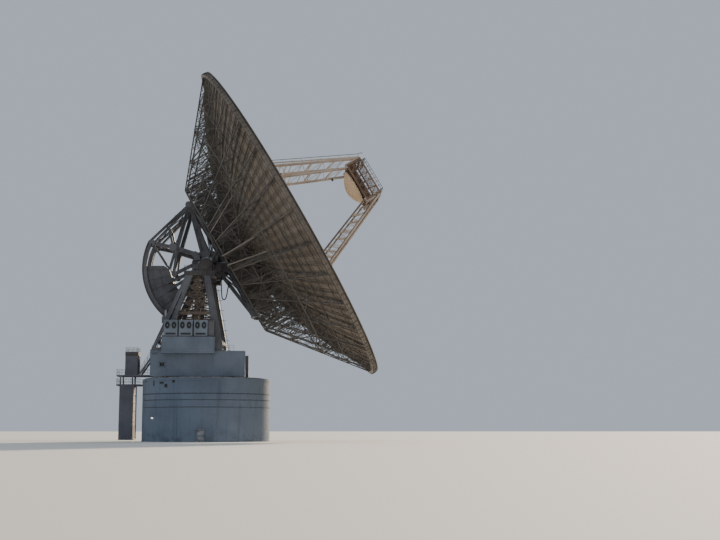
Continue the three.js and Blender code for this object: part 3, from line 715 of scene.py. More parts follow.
# Cage at the top of the legs: bracing, deck, a rail outside its end face, and equipment with
# x, y, width, height and the end of each box along the boresight
CAGE_BAYS = 5
CAGE_RAIL = 0.078
CAGE_GEAR_A = 3.50
CAGE_GEAR = [
    (0.0, 0.0, 0.26, 0.26, 3.62), (-0.24, 0.18, 0.14, 0.2, 3.58), (0.24, -0.22, 0.16, 0.16, 3.60),
    (0.22, 0.24, 0.14, 0.18, 3.57), (-0.22, -0.24, 0.2, 0.14, 3.59), (0.0, -0.33, 0.22, 0.10, 3.56),
]


def quad(x, y, half_x, half_y, a):
    """Corners of a rectangle across the boresight."""
    return [tip(x + u * half_x, y + v * half_y, a) for u, v in CORNERS]


def add_apex_details():
    bracing, rail, gear = Solids(), Solids(), Solids()
    half_x, half_y = (half - 0.018 for half in APEX_HALF)
    low, high = APEX_A[0] + 0.015, APEX_A[1] - 0.015
    middle = lerp(low, high, 0.35)
    levels = [quad(0, 0, half_x, half_y, a) for a in (low, high, middle)]
    for i in range(4):
        (p0, q0), (p1, q1), waist = ((level[i], level[(i + 1) % 4]) for level in levels)
        marks = zip(steps(p0, q0, CAGE_BAYS), steps(p1, q1, CAGE_BAYS))
        for (low0, high0), (low1, high1) in pairwise(marks):
            bracing.bar(low0, high1, 0.010)
            bracing.bar(high0, low1, 0.010)
            bracing.bar(low1, high1, 0.014)
        bracing.bar(*waist, 0.012)
    for a, width in ((low, 0.022), (middle, 0.014), (high, 0.008)):
        for t in steps(-0.8, 0.8, 6):
            bracing.bar(tip(half_x * t, -half_y, a), tip(half_x * t, half_y, a), width)
            bracing.bar(tip(-half_x, half_y * t, a), tip(half_x, half_y * t, a), width)
    bracing.piece("apex_bracing", "dish", "apex", "feed_paint")
    corners = quad(0, 0, 0.36, APEX_HALF[1] - 0.012, APEX_A[1])
    rail.rail([*corners, corners[0]], CAGE_RAIL, 0.09, 0.009, AHEAD)
    rail.piece("apex_handrail", "dish", "rail", "feed_paint")
    for x, y, w, h, end in CAGE_GEAR:
        gear.hexa(*(quad(x, y, w / 2, h / 2, a) for a in (CAGE_GEAR_A, end)))
    for k in range(6):
        p = tip_polar(0.26, 60 * k + 15, SUB_RIM_A + 0.03)
        q = tip_polar(0.21, 60 * k + (40 if k % 2 else -10), APEX_A[0] + 0.05)
        gear.cylinder(p, q, 0.013, sides=10)
    gear.piece("apex_equipment", "dish", "apex", "feed_paint")


# Subreflector: convex shell with a turned edge and radial ribs behind it
SUB_R = 0.365
SUB_RIM_A = 3.425
SUB_BULGE = 0.165
SUB_T = 0.012
SUB_POST_R = 0.12
SUB_RIBS = 16


def sub_front(r):
    return SUB_RIM_A - SUB_BULGE + SUB_BULGE * (r / SUB_R) ** 2


def add_subreflector():
    shell, ribs = Solids(), Solids()
    radii = [0.004] + steps(0, SUB_R, 14)[1:]
    front = [(r, sub_front(r)) for r in radii]
    back = [(r, sub_front(r) + SUB_T) for r in reversed(radii)]
    edge = ((-0.02, -0.004), (0.002, -0.002), (0.002, 0.024), (-0.02, 0.024))
    for profile in (front + back, [(SUB_R + r, SUB_RIM_A + a) for r, a in edge]):
        shell.turned(profile, tip_polar, 96)
    shell.piece("subreflector_shell", "dish", "feed", "feed_paint", smooth=True, replaces=["subreflector"])
    ribs.cylinder(tip(0, 0, SUB_RIM_A - 0.1), tip(0, 0, APEX_A[0] + 0.06), SUB_POST_R, sides=32)
    top, tail = SUB_RIM_A + 0.04, SUB_RIM_A + 0.016
    for angle in (360 * k / SUB_RIBS for k in range(SUB_RIBS)):
        for start, end in ((top, tail), (SUB_RIM_A - 0.08, SUB_RIM_A + 0.01)):
            ribs.strut((SUB_POST_R, angle, start), (SUB_R - 0.012, angle, end), 0.008)
        for r in (0.2, 0.28):
            a = lerp(top, tail, (r - SUB_POST_R) / (SUB_R - SUB_POST_R))
            ribs.strut((r, angle, sub_front(r) + SUB_T), (r, angle, a), 0.007)
            ribs.strut((r, angle, a), (r, angle + 360 / SUB_RIBS, a), 0.007)
    ribs.piece("subreflector_ribs", "dish", "leg", "feed_paint")


# Feed cones: base drum with a bolted flange, and three cones with ribs and an open mouth, filled with a dark
# plug as painted shade
CONE_AT = 0.135
CONE_R = (0.13, 0.075)
CONE_A = (1.04, 1.56)
FEED_BASE_R = 0.27
MOUTH_R = 0.058
FEED_BOLTS = 48


def about(x, y):
    """Places points about an axis beside the boresight."""
    return lambda r, degrees, a: tip_polar(r, degrees, a) + DOWN * x + SIDE * y


def add_feeds():
    shells, mouths, bolts = Solids(), Solids(), Solids()
    drum_r = FEED_BASE_R - 0.004
    low, shoulder = parabola(FEED_BASE_R) - 0.01, 1.0
    shells.cylinder(tip(0, 0, low), tip(0, 0, shoulder), drum_r, sides=64)
    shells.cylinder(tip(0, 0, shoulder), tip(0, 0, CONE_A[0]), drum_r, 0.23, sides=64)
    for a in (0.84, 0.99):
        shells.ring((FEED_BASE_R - 0.02, FEED_BASE_R), (a, a + 0.008), tip_polar)
    for degrees in (60, 180, 300):
        x, y = upright(CONE_AT, degrees, 0).xy
        foot, lip, end = (tip(x, y, a) for a in (CONE_A[0] - 0.01, CONE_A[1] - 0.004, CONE_A[1]))
        shells.cylinder(foot, lip, CONE_R[0] - 0.003, CONE_R[1] - 0.003, sides=48)
        for share in (0.02, 0.34, 0.66, 0.97):
            r, a = (lerp(*ends, share) for ends in (CONE_R, CONE_A))
            shells.ring((r - 0.012, r), (a - 0.004, a + 0.004), about(x, y), 32)
        # Dark plug in each mouth: painted shade for the inside of the open horn
        mouths.cylinder(lip, end, MOUTH_R, sides=32)
    shells.piece("feed_cone_shells", "dish", "feed", "feed_paint", smooth=True, replaces=["feed_cones"])
    mouths.piece("feed_mouths", "dish", "dark", "feed_paint")
    bolts.bolts(FEED_BOLTS, FEED_BASE_R - 0.008, 0.998, 0.004, 0.0035, tip_polar)
    bolts.piece("feed_bolts", "dish", "steel", "bearing_steel")


# Pedestal: smooth outer skin with pour lines, roof edge, ring gear and wall fittings
DRUM_R = 1.265
DRUM_TOP = 1.185
ROOF_TOP = 1.215
DRUM_LINES = {0.66: 0.009, 0.80: 0.010, 0.92: 0.016}
SKIN = 0.004
DOOR_HALF = 4.12
DOOR_TOP = 0.24
AZIMUTH_TEETH = 216
AZIMUTH_TOOTH = ((1.224, -0.5), (1.238, -0.3), (1.238, 0.3), (1.224, 0.5))


def drum_profile(low, high):
    outer, inner = DRUM_R + SKIN, DRUM_R - 0.01
    points = [(inner, low), (outer, low)]
    for z in DRUM_LINES:
        if low < z < high:
            points += [(outer, z - 0.010), (DRUM_R, z - 0.009), (DRUM_R, z + 0.009), (outer, z + 0.010)]
    return points + [(outer, high), (inner, high)]


def add_drum():
    skin, lines, gear = Solids(), Solids(), Solids()
    skin.turned(drum_profile(0.0, DOOR_TOP), upright, 180, -90 + DOOR_HALF, 360 - 2 * DOOR_HALF)
    skin.turned(drum_profile(DOOR_TOP, DRUM_TOP), upright, AROUND)
    skin.ring((DRUM_R - 0.02, DRUM_R + SKIN + 0.004), (DRUM_TOP - 0.012, ROOF_TOP + 0.004), upright, AROUND)
    skin.piece("drum_skin", "pedestal", "concrete", "concrete", smooth=True)
    # Dark rings inside the pour-line grooves: dark joints with painted shade
    for z, height in DRUM_LINES.items():
        lines.ring((DRUM_R - 0.006, DRUM_R + SKIN - 0.001), (z - height / 2, z + height / 2), upright, AROUND)
    lines.piece("drum_joint_shade_lines", "pedestal", "joint_shade", "concrete", smooth=True)
    gear.teeth(steps(0, 360, AZIMUTH_TEETH)[1:], AZIMUTH_TOOTH, (1.218, 1.236), upright)
    gear.piece("azimuth_gear_teeth", "pedestal", "steel", "bearing_steel")


# Vents on the drum's wall: x and y towards them, z, width and height; each is a dark box, painted shade of
# its opening
VENTS = [
    (-0.953, -0.832, 1.129, 0.036, 0.090), (-0.786, -0.991, 1.127, 0.095, 0.026),
    (-0.542, -1.143, 1.150, 0.050, 0.036), (-1.137, -0.555, 1.175, 0.050, 0.026),
    (-0.695, -1.057, 1.068, 0.070, 0.055),
]
LAMP_OUT = Vector((-0.945, -0.84, 0)).normalized()
LAMP_AT = LAMP_OUT * (DRUM_R + 0.03) + UP * 0.458


def on_drum(solids, x, y, z, width, height, depth):
    """Box on the drum's wall."""
    out = Vector((x, y, 0)).normalized()
    across = Vector((-out.y, out.x, 0))
    corners = [across * (u * width / 2) + UP * (z + v * height / 2) for u, v in CORNERS]
    solids.hexa(*([out * r + c for c in corners] for r in (DRUM_R, DRUM_R + SKIN + depth)))


def add_drum_fittings():
    vents, boxes, painted_glint, door = (Solids() for _ in range(4))
    # Dark boxes with lips for the vents, and four more round the far side: painted shade of their openings
    for x, y, z, width, height in VENTS:
        on_drum(vents, x, y, z, width, height, 0.002)
        for side in SIDES:
            on_drum(vents, x, y, z + side * (height / 2 + 0.002), width + 0.012, 0.005, 0.007)
    for degrees in (30, 75, 120, 165):
        on_drum(vents, *upright(1, degrees, 0).xy, 1.09, 0.12, 0.05, 0.002)
    vents.piece("drum_vents", "pedestal", "dark", "concrete")
    for p, q in pairwise(upright(DRUM_R + SKIN + 0.008, degrees, 1.178) for degrees in steps(-140, -88, 24)):
        boxes.bar(p, q, 0.012, 0.008)
    boxes.bar(LAMP_AT - LAMP_OUT * 0.035, LAMP_AT, 0.012)
    boxes.bar(LAMP_AT + UP * 0.012 - LAMP_OUT * 0.012, LAMP_AT + UP * 0.008 + LAMP_OUT * 0.03, 0.045, 0.006)
    boxes.piece("drum_wall_boxes", "pedestal", "housing", "concrete")
    # The lamp glass glows: a painted glint
    painted_glint.cylinder(*(LAMP_AT + UP * z + LAMP_OUT * 0.005 for z in (-0.014, 0.006)), 0.018)
    painted_glint.piece("wall_lamp_glass", "pedestal", "white", "concrete")
    back, front = 0.004 - DRUM_R, 0.026 - DRUM_R
    door.boxes(
        (-0.086, back, 0.0, -0.080, front, 0.238), (0.080, back, 0.0, 0.086, front, 0.238),
        (-0.086, back, 0.232, 0.086, front, 0.239), (-0.12, -1.32, 0.0, 0.12, -1.272, 0.012),
    )
    for low, high in ((0.02, 0.10), (0.125, 0.215)):
        door.box((-0.065, 0.0265 - DRUM_R, low), (0.065, 0.031 - DRUM_R, high))
    door.cylinder((0.066, 0.015 - DRUM_R, 0.115), (0.066, 0.031 - DRUM_R, 0.115), 0.005, sides=10)
    door.bar((0.05, 0.014 - DRUM_R, 0.115), (0.068, 0.014 - DRUM_R, 0.115), 0.005)
    door.piece("door_frame_and_step", "pedestal", "steel", "structure_paint")


# Base frame: the ends of its long girders and its top
BASE_X = (-1.04, 0.8)
BASE_TOP = 1.76


def add_base_trim():
    """Flanges and stiffeners of the base frame, with a window and a vent on its near side."""
    trim, panes, shadow, slats = (Solids() for _ in range(4))
    for side in SIDES:
        root = side * 0.826
        for low, high in ((1.735, 1.759), (1.263, 1.284)):
            trim.box((BASE_X[0], root, low), (BASE_X[1], side * 0.839, high))
        for x in steps(-1.02, 0.78, 6):
            trim.box((x - 0.004, root, 1.284), (x + 0.004, side * 0.8335, 1.735))
        for x in steps(-0.8, 0.46, 9):
            trim.box((x - 0.004, side * 0.694, 1.27), (x + 0.004, side * 0.676, 1.73))
    for x, out in ((BASE_X[0], -0.012), (0.7, 0.012)):
        for y in steps(-0.6, 0.6, 8):
            trim.box((x + out, y - 0.004, 1.27), (x - out / 3, y + 0.004, 1.75))
        for low, high in ((1.263, 1.28), (1.742, 1.759)):
            trim.box((x + out * 1.3, -0.69, low), (x - out / 3, 0.69, high))
    trim.boxes(
        (-0.872, -0.84, 1.442, -0.856, -0.826, 1.538), (-0.764, -0.84, 1.442, -0.748, -0.826, 1.538),
        (-0.872, -0.84, 1.438, -0.748, -0.826, 1.454), (-0.872, -0.84, 1.526, -0.748, -0.826, 1.542),
        (-1.008, -0.842, 1.716, -0.902, -0.826, 1.724),
    )
    trim.piece("base_frame_flanges", "alidade", "housing", "housing_paint")
    # Near-black pane: painted shade of the dark room behind the glass
    panes.box((-0.848, -0.814, 1.452), (-0.772, -0.808, 1.528))
    panes.piece("base_window_glass", "alidade", "dark", "housing_paint")
    # Dark box behind the vent's slats: painted shade of the opening
    shadow.box((-0.998, -0.836, 1.689), (-0.912, -0.808, 1.714))
    shadow.piece("base_vent_and_conduits", "alidade", "dark", "housing_paint")
    for z in (1.697, 1.703, 1.709):
        slats.bar((-0.998, -0.837, z), (-0.912, -0.837, z), 0.002, 0.003)
    slats.bar((-0.81, -0.817, 1.453), (-0.81, -0.817, 1.527), 0.004)
    slats.piece("base_vent_slats", "alidade", "steel", "housing_paint")


# Rails of the deck and of the tower heads
RAIL_HEIGHT = 0.11
HEAD_Z = (3.24, 3.33)
HEAD_RAILS = [[(-0.412, 0.7), (-0.412, 0.822), (-0.15, 0.822)], [(0.15, 0.822), (0.182, 0.822), (0.182, 0.7)]]
DECK_RAILS = [
    [(-1.03, -0.68), (-1.03, 0.68)], [(-0.76, 0.82), (0.21, 0.82)],
    [(0.4, 0.82), (0.58, 0.82)], [(0.4, -0.82), (0.58, -0.82)],
]


def add_deck_rails():
    solids = Solids()
    for line in DECK_RAILS:
        solids.rail([(*at, BASE_TOP) for at in line], RAIL_HEIGHT, 0.11)
    for side, line in product(SIDES, HEAD_RAILS):
        solids.rail([(x, side * y, HEAD_Z[1]) for x, y in line], RAIL_HEIGHT, 0.09)
    solids.piece("deck_handrails", "alidade", "structure", "structure_paint")


# Equipment house and fan units
HOUSE_X = (-0.8, 0.21)
HOUSE_Z = (1.7453, 2.02)
HOUSE_BACK = -0.83
FACE_Y = -1.0
FAN_X = -0.77
FAN_PITCH = 0.29
FAN_W = 0.265
FAN_TOP = 2.34
FAN_Z = 2.242
FAN_BLADES = 9


def oval_ring(solids, x, outer, inner, start, end, sides=32):
    """Upright oval ring on a fan's face; outer and inner are half widths and half heights."""
    rings = []
    for w in (2 * math.pi * k / sides for k in range(sides)):
        (x0, z0), (x1, z1) = ((x + u * math.cos(w), FAN_Z + v * math.sin(w)) for u, v in (outer, inner))
        y0, y1 = FACE_Y + start, FACE_Y + end
        rings.append([(x0, y0, z0), (x0, y1, z0), (x1, y1, z1), (x1, y0, z1)])
    solids.loft(rings, closed=True)


def add_house():
    """Seams and caps of the house, its duct, and the fans with rings, shadowed gaps and guards."""
    trim, duct, shadow, guards = (Solids() for _ in range(4))
    front, back = FACE_Y - 0.004, FACE_Y + 0.004
    for x in (HOUSE_X[0], -0.47, -0.15, HOUSE_X[1]):
        trim.box((x - 0.006, front, HOUSE_Z[0]), (x + 0.006, back, HOUSE_Z[1]))
    left, right = HOUSE_X[0] - 0.008, HOUSE_X[1] + 0.008
    trim.boxes(
        (left, front - 0.004, 2.006, right, HOUSE_BACK, 2.019),
        (left, front - 0.004, 1.7455, right, back, 1.757),
        (-0.79, -0.93, 1.86, -0.802, -0.87, 1.99),
    )
    shadow.boxes(
        (HOUSE_X[0], FACE_Y - 0.005, 2.014, HOUSE_X[1], -0.84, 2.036),
        (-0.806, -0.93, 1.76, -0.7995, -0.86, 1.97),
    )
    for i in range(3):
        x = FAN_X + i * FAN_PITCH
        end = x + FAN_W
        trim.box((x - 0.003, FACE_Y - 0.01, FAN_TOP - 0.008), (end + 0.003, HOUSE_BACK, FAN_TOP + 0.004))
        for edge in (x, end - 0.008):
            trim.box((edge, front, 2.022), (edge + 0.008, back, FAN_TOP - 0.008))
        for z in (2.058, 2.071, 2.084):
            shadow.box((x + 0.035, FACE_Y - 0.0022, z), (end - 0.035, FACE_Y + 0.002, z + 0.0105))
        if i < 2:
            shadow.box((end + 0.001, -0.97, 2.021), (x + FAN_PITCH - 0.001, -0.84, FAN_TOP - 0.01))
        for centre in (x + FAN_W * share for share in (0.26, 0.74)):
            oval_ring(trim, centre, (0.050, 0.074), (0.045, 0.069), -0.010, 0.002)
            oval_ring(trim, centre, (0.010, 0.019), (0.001, 0.001), -0.008, 0.002)
            oval_ring(shadow, centre, (0.0455, 0.0695), (0.0095, 0.0185), -0.003, 0.0225)
            for w in (2 * math.pi * k / FAN_BLADES + i for k in range(FAN_BLADES)):
                p, q = ((centre + u * math.cos(w), front, FAN_Z + v * math.sin(w))
                        for u, v in ((0.017, 0.03), (0.044, 0.068)))
                guards.bar(p, q, 0.003)
            for scale in (0.55, 0.78):
                outer = (0.046 * scale, 0.070 * scale)
                oval_ring(guards, centre, outer, [half - 0.0015 for half in outer], -0.006, -0.0045, 24)
    trim.piece("house_trim", "alidade", "fan", "housing_paint", smooth=True)
    duct.boxes((0.081, -0.97, 2.036, 0.20, -0.85, 2.322), (0.079, -0.975, 2.322, 0.205, -0.845, 2.334))
    duct.piece("house_duct", "alidade", "tipping", "housing_paint")
    shadow.piece("fan_shadow_gaps", "alidade", "dark", "housing_paint")
    guards.piece("fan_guards", "alidade", "head", "housing_paint")


# Towers, each leg given by its rear and front edge in x at its foot and at its head
TOWER_Y = (0.69, 0.83)
LEG_Z = (1.7603, 3.2397)
REAR_LEG = ((-1.035, -0.780), (-0.390, -0.250))
FRONT_LEG = ((0.225, 0.375), (-0.025, 0.095))
REAR_CHORD = 0.078
SLOT_Z = (1.82, 2.90)
LEG_PLATES = ((1.762, 1.776, 0.014), (3.222, 3.236, 0.010))
FLANGED = [(REAR_LEG, 0.008, 0.016, LEG_Z), (FRONT_LEG, 0.008, 0.016, LEG_Z),
           (REAR_LEG, REAR_CHORD - 0.006, 0.012, SLOT_Z)]


def leg_edge(leg, k, inset, y, z):
    """Point on the rear edge 0 or the front edge 1 of a tower's leg, moved into the leg by the inset."""
    t = (z - LEG_Z[0]) / (LEG_Z[1] - LEG_Z[0])
    return Vector((lerp(leg[0][k], leg[1][k], t) + (-inset if k else inset), y, z))


def add_tower_flanges():
    """Flanges on the legs' edges, bracing in the slots, plates at the legs' ends and battens on the heads."""
    solids = Solids()
    for side, (face, out) in product(SIDES, ((TOWER_Y[1], 0.004), (TOWER_Y[0], -0.004))):
        y = side * (face + out)
        for k, (leg, inset, width, heights) in product((0, 1), FLANGED):
            solids.bar(*(leg_edge(leg, k, inset, y, z) for z in heights), width, 0.010, SIDE)
        for z in steps(1.9, 3.1, 5):
            solids.bar(*(leg_edge(FRONT_LEG, k, 0, y, z) for k in (0, 1)), 0.008, up=SIDE)
        y = side * (face - out * 3)
        for i, (z0, z1) in enumerate(pairwise(steps(SLOT_Z[0] + 0.03, SLOT_Z[1] - 0.08, 7))):
            k = (i + 1) % 2
            ends = ((k, z0), (1 - k, z1), (k, z1))
            p, q, level = (leg_edge(REAR_LEG, edge, REAR_CHORD - 0.01, y, z) for edge, z in ends)
            solids.bar(p, q, 0.012, up=SIDE)
            solids.bar(level, q, 0.010, up=SIDE)
    for side in SIDES:
        for (z0, z1, w), leg in product(LEG_PLATES, (REAR_LEG, FRONT_LEG)):
            x0, x1 = (leg_edge(leg, k, -w, 0, (z0 + z1) / 2).x for k in (0, 1))
            solids.box((x0, side * (TOWER_Y[0] - w), z0), (x1, side * (TOWER_Y[1] + w), z1))
        low, high = HEAD_Z[0] + 0.002, HEAD_Z[1] - 0.008
        for x0, x1 in ((-0.42, -0.14), (0.135, 0.19)):
            solids.box((x0, side * 0.68, high), (x1, side * 0.838, HEAD_Z[1] + 0.003))
        for x in (-0.36, -0.28, -0.2, -0.1, 0.0, 0.1, 0.17):
            solids.box((x - 0.004, side * 0.828, low), (x + 0.004, side * 0.838, high))
    solids.piece("tower_flanges", "alidade", "structure", "structure_paint")


def add_bearing_caps():
    caps = Solids()
    for side in SIDES:
        for face, thick in ((TOWER_Y[1], 0.012), (TOWER_Y[0], -0.010)):
            ends = (side * (face - thick / 6), side * (face + thick))
            caps.ring((0.090, 0.127), ends, wheel_point, 40)
            caps.bolts(12, 0.109, ends[1], side * math.copysign(0.005, thick), 0.005, wheel_point, 15)
        caps.cylinder((0, side * 0.8603, AXIS_Z), (0, side * 0.8693, AXIS_Z), 0.07, sides=32)
    caps.piece("bearing_caps", "alidade", "head", "bearing_steel")


LADDER_HALF = 0.022


def add_ladders():
    """Ladder with a cage on the front of each tower, and a cable tray behind its front leg."""
    ladder = Solids()
    for side in SIDES:
        y = side * 0.76
        foot, head = (leg_edge(FRONT_LEG, 1, -0.03, y, z) for z in (1.80, 3.20))
        for offset in (SIDE * -LADDER_HALF, SIDE * LADDER_HALF):
            ladder.bar(foot + offset, head + offset, 0.006)
            for t in steps(0.05, 0.95, 6):
                at = lerp(foot, head, t) + offset
                ladder.bar(at, at - FORWARD * 0.032, 0.005)
        for t in steps(0.01, 0.99, 42):
            at = lerp(foot, head, t)
            ladder.bar(at - SIDE * LADDER_HALF, at + SIDE * LADDER_HALF, 0.004)
        for t in steps(0.05, 0.95, 6):
            hoop = [lerp(foot, head, t) + Vector((0.01 + 0.0405 * math.cos(w), 0.03 * math.sin(w), 0))
                    for w in steps(-math.pi / 2, math.pi / 2, 6)]
            ladder.tube(hoop, 0.0025, sides=5)
        ladder.bar(*(leg_edge(FRONT_LEG, 0, -0.006, y, z) for z in (1.78, 3.22)), 0.05, 0.014, FORWARD)
    ladder.piece("tower_ladders", "alidade", "structure", "structure_paint")


def add_tower_bracing():
    """Bracing, trays and pipes between the two legs of each tower."""
    solids = Solids()
    for side in SIDES:
        y = side * 0.735

        def ends(z):
            return leg_edge(REAR_LEG, 1, -0.004, y, z), leg_edge(FRONT_LEG, 0, -0.004, y, z)

        for z0, z1 in pairwise((2.545, 2.70, 2.86, 3.02, 3.17)):
            (rear0, front0), (rear1, front1) = ends(z0), ends(z1)
            for p, q, width in ((rear0, front1, 0.022), (front0, rear1, 0.022), (rear1, front1, 0.018)):
                solids.bar(p, q, width, 0.03, SIDE)
        for x in (-0.28, -0.24, -0.16, -0.12):
            solids.bar((x, side * 0.70, 1.77), (x * 0.8, side * 0.70, 3.235), 0.016)
        solids.bar((-0.20, side * 0.71, 1.77), (-0.16, side * 0.71, 3.235), 0.07, 0.02, SIDE)
        for z in (2.0, 2.2):
            solids.bar(*ends(z), 0.03, 0.04, SIDE)
        solids.box((-0.50, side * 0.46, 2.532), (0.05, side * 0.69, 2.545))
    solids.piece("tower_bracing", "alidade", "bracing", "structure_paint")


# Elevation drives, and boxes on the deck between the towers: x, y, width, depth and height
PINION_TURN = 233.0
PINION_R = 1.331
DECK_BOXES = [
    (-0.45, -0.35, 0.30, 0.26, 0.17), (-0.10, 0.10, 0.34, 0.40, 0.13), (0.22, -0.40, 0.22, 0.26, 0.22),
    (-0.50, 0.40, 0.30, 0.30, 0.20), (0.25, 0.42, 0.22, 0.30, 0.16),
]


def add_drives():
    boxes, shafts = Solids(), Solids()
    x, _, z = wheel_point(PINION_R, PINION_TURN, 0)
    for side in SIDES:
        boxes.boxes(
            (x - 0.06, side * 0.425, z - 0.07, x + 0.14, side * 0.60, z + 0.06),
            (x + 0.04, side * 0.59, z - 0.05, x + 0.16, side * 0.692, z + 0.05),
        )
        boxes.bar((x - 0.03, side * 0.55, z - 0.07), (x + 0.13, side * 0.68, z - 0.22), 0.025)
        for y0, y1, radius, sides in ((0.43, 0.325, 0.012, 16), (0.375, 0.33, 0.022, 20)):
            shafts.cylinder((x, side * y0, z), (x, side * y1, z), radius, sides=sides)
        for z0, z1, radius in ((0.06, 0.18, 0.035), (0.18, 0.195, 0.028)):
            shafts.cylinder((x + 0.02, side * 0.51, z + z0), (x + 0.02, side * 0.51, z + z1), radius)
    for x, y, w, d, h in DECK_BOXES:
        for rim, low, high in ((0, BASE_TOP, BASE_TOP + h), (0.004, BASE_TOP + h, BASE_TOP + h + 0.008)):
            boxes.box((x - w / 2 - rim, y - d / 2 - rim, low), (x + w / 2 + rim, y + d / 2 + rim, high))
    boxes.piece("drive_boxes", "alidade", "structure", "structure_paint")
    shafts.piece("drive_shafts", "alidade", "steel", "bearing_steel")


# Elevation wheels, seen from the side as x and z: members with their widths, gussets with their sizes
# and tubes from wheel to wheel with their radii
TOP_POINT = (-0.400, 4.740)
CROSSING = (-0.697, 3.870)
REAR_POINT = (-1.12, 3.95)
STRUT_POINT = (-0.79, 4.27)
UPPER_HUB = (0.05, 3.74)
FRONT_FOOT = (0.90, 2.55)
REAR_FOOT = (-0.30, 2.25)
WHEEL_ARC = (157.0, 257.0)
WHEEL_MEMBERS = [
    (TOP_POINT, (-1.185, 3.965), 0.034), ((-0.415, 4.680), (-1.080, 3.950), 0.034),
    (TOP_POINT, (-0.750, 3.440), 0.042), ((-0.405, 4.620), (-0.625, 3.750), 0.034),
    ((-0.625, 3.750), (-0.680, 3.320), 0.034), ((-1.120, 3.955), CROSSING, 0.060),
    (CROSSING, (-0.250, 3.735), 0.078), ((-1.090, 3.920), (-0.800, 3.470), 0.032),
    (STRUT_POINT, CROSSING, 0.032), ((-0.690, 3.310), (-0.200, 3.560), 0.058),
    ((-0.780, 3.150), (-0.200, 3.410), 0.044), ((-0.760, 3.000), (-0.200, 3.370), 0.044),
    (TOP_POINT, (-0.130, 3.760), 0.044), (TOP_POINT, (-0.030, 3.780), 0.088),
    ((0.230, 3.400), (0.948, 2.490), 0.056), ((-0.250, 3.400), (-0.790, 2.480), 0.044),
    ((-0.040, 3.330), (-0.314, 2.240), 0.044),
]
GUSSETS = [(TOP_POINT, 0.07), (CROSSING, 0.085), (REAR_POINT, 0.075), ((-0.66, 3.33), 0.06),
           ((-0.25, 3.72), 0.07), (FRONT_FOOT, 0.055)]
CROSS_TUBES = [(TOP_POINT, 0.022), (CROSSING, 0.022), (REAR_POINT, 0.022), (UPPER_HUB, 0.03),
               (FRONT_FOOT, 0.02), (REAR_FOOT, 0.02), (STRUT_POINT, 0.016)]
CROSSED_BAYS = [(TOP_POINT, STRUT_POINT), (STRUT_POINT, REAR_POINT), (TOP_POINT, CROSSING),
                (CROSSING, REAR_POINT), (TOP_POINT, UPPER_HUB), ((0.25, 3.38), FRONT_FOOT),
                ((-0.06, 3.30), REAR_FOOT)]
HUB_POINTS = [
    (-0.300, 3.360), (-0.060, 3.300), (0.250, 3.300), (0.400, 3.440), (0.330, 3.560), (0.200, 3.770),
    (0.060, 3.810), (-0.200, 3.760), (-0.310, 3.580),
]
WHEEL_TEETH = 200
WHEEL_TOOTH = ((1.29, -0.15), (1.302, -0.08), (1.302, 0.08), (1.29, 0.15))


def hub_edge(point, share, y):
    """Point of the hub's outline, drawn in towards the elevation axis."""
    return Vector((point[0] * share, y, lerp(AXIS_Z, point[1], share)))


def add_wheel_trim():
    """Flanges and battens of the members, rim flanges, gear teeth, gussets, hub plates and cross tubes."""
    solids, teeth, edges = Solids(), Solids(), Solids()
    arc, sweep = WHEEL_ARC[0], WHEEL_ARC[1] - WHEEL_ARC[0]
    tooth_angles = [arc + sweep * (k + 0.5) / WHEEL_TEETH for k in range(WHEEL_TEETH)]
    for side in SIDES:
        for y, (start, end, width) in product((side * 0.392, side * 0.308), WHEEL_MEMBERS):
            p, q = (Vector((x, y, z)) for x, z in (start, end))
            across = (q - p).normalized().cross(SIDE) * (width / 2 - 0.004)
            for sign in SIDES:
                solids.bar(p + across * sign, q + across * sign, 0.009, 0.014, SIDE)
            if width > 0.04:
                for i, (a, b) in enumerate(pairwise(steps(p, q, max(2, round((q - p).length / 0.09))))):
                    lean = across if i % 2 else -across
                    solids.bar(a + lean, b - lean, 0.006, 0.0084, SIDE)
        # The outer rim band is near black: painted shade on the rims' outer edges
        for radii, target in (((1.205, 1.222), solids), ((1.270, 1.300), edges)):
            target.ring(radii, (side * 0.398, side * 0.407), wheel_point, 60, arc, sweep)
        for angle in steps(arc + 1, arc + sweep - 1, 28):
            solids.bar(*(wheel_point(r, angle, side * 0.402) for r in (1.215, 1.29)), 0.006, 0.007, SIDE)
        teeth.teeth(tooth_angles, WHEEL_TOOTH, (side * 0.335, side * 0.372), wheel_point)
        for ((x, z), size), ends in product(GUSSETS, ((0.398, 0.407), (0.293, 0.302))):
            corners = [(x + size * math.cos(w), z + size * math.sin(w)) for w in steps(0, 2 * math.pi, 8)[1:]]
            solids.loft([[(u, side * y, v) for u, v in corners] for y in ends])
        for p, q in pairwise([*HUB_POINTS, HUB_POINTS[0]]):
            solids.bar(hub_edge(p, 0.97, side * 0.405), hub_edge(q, 0.97, side * 0.405), 0.014, 0.012, SIDE)
        for point in HUB_POINTS:
            out = hub_edge(point, 1, 0) - ELEVATION_AXIS
            start = ELEVATION_AXIS + out.normalized() * 0.16 + SIDE * side * 0.418
            solids.bar(start, hub_edge(point, 0.94, side * 0.405), 0.012, 0.04, SIDE)
        teeth.ring((0.152, 0.215), (side * 0.399, side * 0.412), wheel_point, 48)
        teeth.bolts(20, 0.192, side * 0.412, side * 0.006, 0.006, wheel_point)
    for (x, z), radius in CROSS_TUBES:
        solids.cylinder((x, -0.32, z), (x, 0.32, z), radius, sides=12)
    for (p, q), y in product(CROSSED_BAYS, (-0.3, 0.3)):
        solids.cylinder((p[0], -y, p[1]), (q[0], y, q[1]), 0.010, sides=8)
    solids.piece("wheel_flanges", "dish", "tipping", "structure_paint")
    edges.piece("wheel_rim_edges", "dish", "head", "structure_paint")
    teeth.piece("elevation_gear_teeth", "dish", "steel", "bearing_steel")


